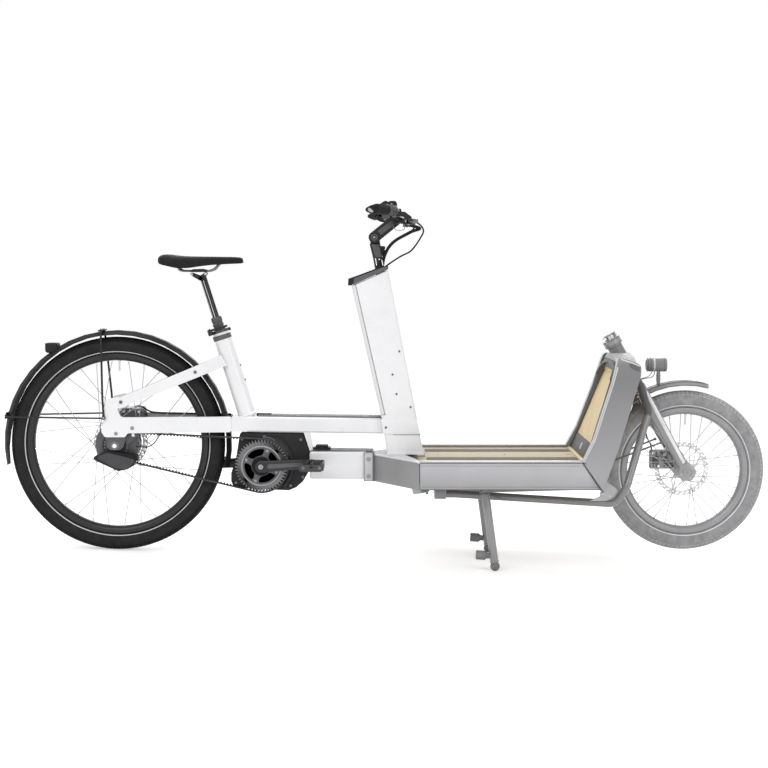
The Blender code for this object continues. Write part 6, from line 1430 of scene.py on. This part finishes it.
clamp_plates = [head_plate([(487, low), (487, high), (512, high), (512, low)], 17, 21.8, 0.8)
                for low, high in ((-8.5, -0.5), (1.5, 12))]
on_fork("clamp_plates", "cover_paint", *both_sides(*clamp_plates), slot="grey_metal")
lines = [head_plate([(476, low), (476, low + 1.2), (515, low + 1.2), (515, low)], -26.2, 26.2, 0.3)
         for low in (-10, 13)]
lines += [ring(29, 30.5, height, height + 1.4, 40, by_head(475.5, 0), HEAD_AXIS) for height in (3, 20)]
on_fork("clamp_lines", "hub_metal", *lines, slot="grey_metal")
for _, _, piece, _ in each_side("front_fork"):
    piece("clamp_bolts", "bright_steel", *(across(by_head(distance, -17.5, 12), 0, 10, 4.4, 18)
                                           for distance in (509, 495.5)),
          bevel=0.6)
on_fork("crown_screws", "pale_steel", *(across(by_head(distance, offset), y, y - 6, radius, 14)
                                        for distance, offset, y, radius in ((318, -12, -64, 5), (306, -10, -64, 4.5),
                                                                            (330, -4, -62, 3.5),
                                                                            (296, -20, -58, 3.5))),
        bevel=0.6)

fins = [block((890 + step, 27.5, 270), (892.5 + step, 32.5, 323), 0.6) for step in (8, 18, 44, 54)]
on_fork("front_caliper_fins", "hub_metal", *fins, block((895, 26.2, 282), (918, 31, 308), 2),
        prism(capsule((926, 0, 316), (954, 0, 276), 7, 9, 6), 26.2, 31, 1.2),
        prism(capsule((956, 0, 318), (976, 0, 302), 6, 6, 6), 26.2, 32.5, 1))
for side, facing, y in (("near", -1, 30), ("far", 1, 53.5)):
    screws(f"front_caliper_{side}_bolts", "bright_steel", 5, 4, (0, facing, 0),
           *((x, y, z) for x, z in ((898, 318), (916, 274), (935, 312), (954, 276))), body="front_fork")
hose = [(896, 45.5, 324), (892, 46, 345), (882, 50, 364), (876, 53, 390), by_head(205, -20, 56),
        by_head(212, -14, 57)]
on_fork("front_brake_hose_finish", "hose_rubber", tube(smooth_route(hose, 4), 2.4), stands_for="front_brake_hose",
        smooth=180)


def on_guard_side(place):
    """Whether a face is on the lower edge of the front guard."""
    out = math.hypot(place.x - FRONT_AXLE.x, place.z - FRONT_AXLE.z)
    return out > 0.270 and abs(place.y) > 0.027


refined("front_mudguard", "guard_plastic cover_plate", 0, where=on_guard_side)
beads = [tube([around(FRONT_AXLE, reach, math.radians(76 + 104 * step / 48), y) for step in range(49)], radius, 8)
         for reach, y, radius in ((284.8, 34.6, 1.1), (295.8, 21.5, 1))]
on_fork("front_guard_beads", "dark_strip", *both_sides(*beads), slot="black_plastic", smooth=180)
foot = by_head(125, 0, 57) + at((-24, 0, -12))
on_fork("front_guard_stays", "dark_steel",
        *both_sides(rod(around(FRONT_AXLE, 280, math.radians(176), 40), foot, 3, 12), across(foot, -3, 3, 5)))

LAMP_CENTRE = Vector((0.900, 0, 0.6145))
refined("headlamp", "lamp_plastic", 0.8)
on_fork("lamp_rings", "hoop_plastic", *(ring(20, radius, low, high, 40, LAMP_CENTRE, AHEAD) for low, high, radius in (
    (-30, -28.2, 22.6), (-21.5, -20, 23.1), (24, 25.5, 23.1))), slot="dark_metal", bevel=0.3)
# A pale ring round the lamp's middle: a painted highlight.
on_fork("lamp_band", "pale_metal", turned([(20, -12), (22.8, -11.6), (23, -5.4), (20, -5)], 40, LAMP_CENTRE, AHEAD),
        slot="dark_metal")
on_fork("lamp_lens", "lens_glass", turned([(0, 28.5), (17.8, 28.5), (17.8, 30), (12, 32.2), (5, 33.2), (0, 33.4)], 40,
                                          LAMP_CENTRE, AHEAD))
on_fork("lamp_socket", "cage_metal", *(turned([(0, z), (radius, z), (radius, z + 5.2), (0, z + 5.2)], 24,
                                              (907.2, 0, 0), UP)
                                       for z, radius in ((559, 6.6), (564.5, 7.2), (570, 6.6), (575.5, 7.2),
                                                         (581, 6.6))),
        bevel=0.5)
wires = (
    [(886, -4, 594), (880, -6, 583), (868, -8, 574), (852, -8, 570), (840, -6, 562), (836, -4, 548)],
    [(896, 4, 593), (893, 4, 580), (882, 2, 572), (860, 0, 569), (844, 0, 560), (838, -2, 548)],
)
on_fork("lamp_wires", "dark_steel", *(tube(smooth_route(wire, 3), 1.3, 8) for wire in wires), smooth=180)

lower_route = [(203.8, 47, 191), (235, 47, 191), (741, 208, 182), (776, 212, 240), (856, 118, 468), (832, 97, 557),
               by_head(387, 0, 27.5)]
gusset = [(655, 190), (690, 205), (693, 232), (706, 256), (740, 233), (752, 215), (735, 192)]
for side, sign, piece, heads in each_side():
    shape = tube(rounded(lower_route, 45, 6, closed=False), 12.5, 24)
    for face in shape.faces:
        # Above 450 mm the tube takes the darker kick plastic: painted shade on its upper end.
        face.material_index = int(face.calc_center_median().z > 0.450)
    piece("lower_tube_finish", "tube_paint kick_plastic", shape, stands_for=f"{side}_lower_tube", smooth=60)
    piece("gusset", "pale_metal", prism(gusset, 200, 206.5, 0.8), slot="grey_metal")
    heads("gusset_screws", "pale_steel", 3.2, 1.4, (700, 206.4, 214), (722, 206.4, 206))


# Stand

STAND_HALF = 170
LEG_TOP = at((325, STAND_HALF, 218.5))
LEG_FOOT = at((358.5, STAND_HALF, -26.5))
leg_line = (LEG_TOP - LEG_FOOT).normalized()

leg = turned([(0, 12), (12.8, 12), (13.5, 14), (13.5, 236), (12, 239), (0, 239)], 28, LEG_FOOT, leg_line)
fitted("stand_legs", "stand_paint", *both_sides(leg, ring(12, 14.6, 13, 17, 28, LEG_FOOT, leg_line)),
       across((325, 0, 212.5), -STAND_HALF, STAND_HALF, 10, 28), body="two_leg_stand", stands_for="stand", smooth=40)
ball = bmesh.new()
bmesh.ops.create_uvsphere(ball, u_segments=28, v_segments=18, radius=0.0155)
bmesh.ops.translate(ball, vec=LEG_FOOT, verts=ball.verts)
fitted("stand_feet", "foot_rubber", *both_sides(ball), body="two_leg_stand", smooth=60)
peg = [(0, 0), (9.2, 0), (9.2, 22), (13, 27), (15, 29), (15, 36), (14.2, 37.5), (15, 39), (15, 46), (14.2, 47.5),
       (15, 49), (15, 56), (13.5, 58), (0, 58)]
fitted("stand_pegs", "foot_rubber", *both_sides(turned(peg, 28, LEG_FOOT + at((-4, 0, 33)), (-0.997, 0, 0.075))),
       body="two_leg_stand")
coil = [at((300 + 4.5 * math.cos(turn), 110 + 4.5 * math.sin(turn), 242 - 28 * turn / (math.tau * 9)))
        for turn in (math.tau * step / 12 for step in range(12 * 9 + 1))]
fitted("stand_spring", "steel", tube(coil, 0.9, 6), smooth=180)


# Wheels

REAR_RADIUS = 354
FRONT_RADIUS = 265
REAR_RIM = 298
FRONT_RIM = 209
TREAD_HEIGHT = 1.4
TREAD_EDGE = math.radians(62)
LINE_INNER = math.radians(133)
LINE_OUTER = math.radians(126)


def tyre(axle, radius, rim_radius, blocks):
    """A casing with rows of tread blocks, a reflective line on each side and beads in the rim."""
    half = 30
    crown = radius - half
    bead_end = math.acos((rim_radius + 0.5 - crown) / half)
    angles = [TREAD_EDGE * step / 4 for step in range(5)]
    angles += [TREAD_EDGE + (LINE_OUTER - TREAD_EDGE) * step / 6 for step in range(1, 7)]
    angles += [LINE_INNER, (LINE_INNER + bead_end) / 2, bead_end]
    profile = [(rim_radius - 6.5, -11.8)]
    for angle in [-angle for angle in reversed(angles[1:])] + angles:
        reach = half - (TREAD_HEIGHT if abs(angle) < TREAD_EDGE + 0.01 else 0.4)
        profile.append((crown + reach * math.cos(angle), reach * math.sin(angle)))
    profile += [(rim_radius - 6.5, 11.8), (rim_radius - 2, 8), (crown, 24.5), (radius - 6, 0), (crown, -24.5),
                (rim_radius - 2, -8)]
    shape = turned(profile, blocks, axle)
    tread = []
    for face in shape.faces:
        middle = face.calc_center_median() - axle
        above = math.hypot(middle.x, middle.z) - crown / 1000
        tilt = math.atan2(abs(middle.y), above)
        if math.hypot(above, middle.y) < half / 1000 - 0.004:
            continue
        if tilt < TREAD_EDGE and Vector((middle.x, 0, middle.z)).dot(face.normal) > 0:
            tread.append(face)
        elif LINE_OUTER < tilt < LINE_INNER:
            face.material_index = 1
    bmesh.ops.inset_individual(shape, faces=tread, thickness=0.0011, depth=TREAD_HEIGHT / 1000, use_even_offset=True)
    for face in tread:
        face.material_index = 2
    return shape


def rim(axle, radius):
    half = [(7, 12.8), (0.2, 17.4), (0, 18.6), (1.2, 19), (10, 18.4), (17, 14.8), (21.5, 8.5)]
    profile = [(radius - depth, y) for depth, y in half[1:] + [(23, 0)]]
    profile += [(radius - depth, -y) for depth, y in reversed(half)] + [(radius - 7, 12.8)]
    return turned(profile, 128, axle)


def spoke_ends(axle, rim_radius, flange_radius, flange_y):
    """For each of 32 crossed spokes: its elbow in a flange, its end in the rim, and its angle and y there."""
    for number in range(32):
        way = 1 if number % 4 < 2 else -1
        side = 1 if number % 2 else -1
        angle = math.tau * (number + 0.5) / 32 - NOSE_UP
        y = side * (4 + way * 1.5)
        elbow = around(axle, flange_radius - 3, angle + math.radians(55) * way, side * (flange_y + way * 2.5))
        yield elbow, around(axle, rim_radius - 22.5, angle, y), angle, y


def disc_rotor(axle, start_y, radius=90, thickness=1.8, arms=5):
    """A brake disc: a slotted track, a splined carrier and arms swept backwards."""
    inner = radius - 16
    slots = (inner + 4.5, inner + 9.5, radius - 2.2)
    track = bmesh.new()
    verts = [track.verts.new((reach / 1000, 0, 0)) for reach in (inner, *slots, radius)]
    edges = [track.edges.new(pair) for pair in zip(verts, verts[1:])]
    bmesh.ops.spin(track, geom=verts + edges, cent=(0, 0, 0), axis=UP, angle=math.tau, steps=90, use_merge=True)
    bmesh.ops.remove_doubles(track, verts=track.verts, dist=1e-6)
    holes = []
    for face in track.faces:
        middle = face.calc_center_median()
        reach = math.hypot(middle.x, middle.y) * 1000
        slot = round(math.degrees(math.atan2(middle.y, middle.x)) / 4 - 0.5) % 3
        if slot == 0 and slots[0] < reach < slots[1] or slot == 1 and slots[1] < reach < slots[2]:
            holes.append(face)
    bmesh.ops.delete(track, geom=holes, context="FACES")
    bmesh.ops.solidify(track, geom=track.faces[:], thickness=thickness / 1000)
    base = axle + LEFT * start_y / 1000
    turn = Matrix.Translation(base) @ Matrix.Rotation(-math.pi / 2, 4, "X")
    bmesh.ops.transform(track, matrix=turn, verts=track.verts)
    shapes = [cleaned(track), ring(6.6, 26, 0, thickness, 32, base)]
    for number in range(arms):
        outline = []
        for share, half in ((0, 4.5), (0.5, 3), (1, 4), (1, -4), (0.5, -3), (0, -4.5)):
            lean = math.tau * number / arms + 0.6 * share**1.3
            sideways = Vector((-math.sin(lean), math.cos(lean))) * half / 1000
            outline.append(around(axle, 23 + (inner + 3 - 23) * share, lean).xz + sideways)
        shapes.append(prism(outline, start_y + 0.2, start_y + thickness - 0.2))
    for number in range(6):
        place = around(axle, 22, math.tau * (number + 0.5) / 6, start_y + thickness)
        shapes.append(bolt_head(place, LEFT, 3.2, 1.8))
    return shapes


on_rear = partial(fitted, body="rear_wheel")
on_front = partial(fitted, body="front_wheel")
on_rear("rear_tyre_tread", "rear_tyre_rubber reflective_line tread_rubber",
        tyre(REAR_AXLE, REAR_RADIUS, REAR_RIM, 150),
        stands_for="rear_tyre", smooth=45)
on_front("front_tyre_tread", "front_tyre_rubber faded_line faded_tread",
         tyre(FRONT_AXLE, FRONT_RADIUS, FRONT_RIM, 112),
         stands_for="front_tyre", smooth=45)
on_rear("rear_rim_profile", "rim_metal", rim(REAR_AXLE, REAR_RIM), stands_for="rear_rim")
on_front("front_rim_profile", "faded_rim_metal", rim(FRONT_AXLE, FRONT_RIM), stands_for="front_rim")
wheels = (("rear", REAR_AXLE, REAR_RIM, 72, 28, 88.7, "spoke_steel", "steel"),
          ("front", FRONT_AXLE, FRONT_RIM, 30, 23.5, 88.5, "faded_spoke", "pale_steel"))
for end, axle, rim_radius, flange, flange_y, _, look, _ in wheels:
    wires = []
    for elbow, tip, _, _ in spoke_ends(axle, rim_radius, flange, flange_y):
        wires += [rod(elbow, tip, 1.2, 8), across(elbow, -3, 3, 1.7, 8)]
    fitted(f"{end}_spokes", look, *wires, body=f"{end}_wheel")
for end, axle, rim_radius, flange, flange_y, _, _, look in wheels:
    nipples = [rod(around(axle, rim_radius - 21.5, angle, y), around(axle, rim_radius - 33, angle, y), 2.3, 8, 1.9)
               for _, _, angle, y in spoke_ends(axle, rim_radius, flange, flange_y)]
    fitted(f"{end}_nipples", look, *nipples, body=f"{end}_wheel")
for end, axle, rim_radius, _, _, degrees, _, look in wheels:
    foot, collar, neck, tip = (around(axle, rim_radius - depth, math.radians(degrees)) for depth in (22, 26, 46, 58))
    fitted(f"{end}_valve", look, rod(foot, collar, 5, 12), rod(collar, neck, 3, 12), rod(neck, tip, 3.6, 12, 2.8),
           body=f"{end}_wheel")

rear_shell = [(6.4, -40), (30, -40), (34, -39.2), (50, -39), (60, -37.5), (69.5, -33.5), (72, -30), (72, -26),
              (69.5, -23.5), (69, 23.5), (72, 26), (72, 30), (69.5, 33.5), (60, 37.5), (44, 39), (30, 44.5),
              (6.4, 44.9)]
on_rear("rear_hub_shell", "hub_metal", turned(rear_shell, 64, REAR_AXLE), stands_for="rear_hub", smooth=25)
front_shell = [(6.4, -45.6), (12.5, -45.6), (14, -44), (16, -30), (30, -26.5), (30.5, -23.5), (30, -20.5),
               (18, -17.5),
               (15.5, -10), (15.5, 10), (18, 17.5), (30, 20.5), (30.5, 23.5), (30, 26.5), (20, 30), (20, 34),
               (14, 37),
               (12.5, 45.6), (6.4, 45.6)]
on_front("front_hub_shell", "faded_metal", turned(front_shell, 48, FRONT_AXLE), stands_for="front_hub", smooth=25)
on_rear("rear_brake_disc", "steel", *disc_rotor(REAR_AXLE, 45.4), stands_for="rear_rotor")
on_front("front_brake_disc", "rotor_steel", *disc_rotor(FRONT_AXLE, 34.6))
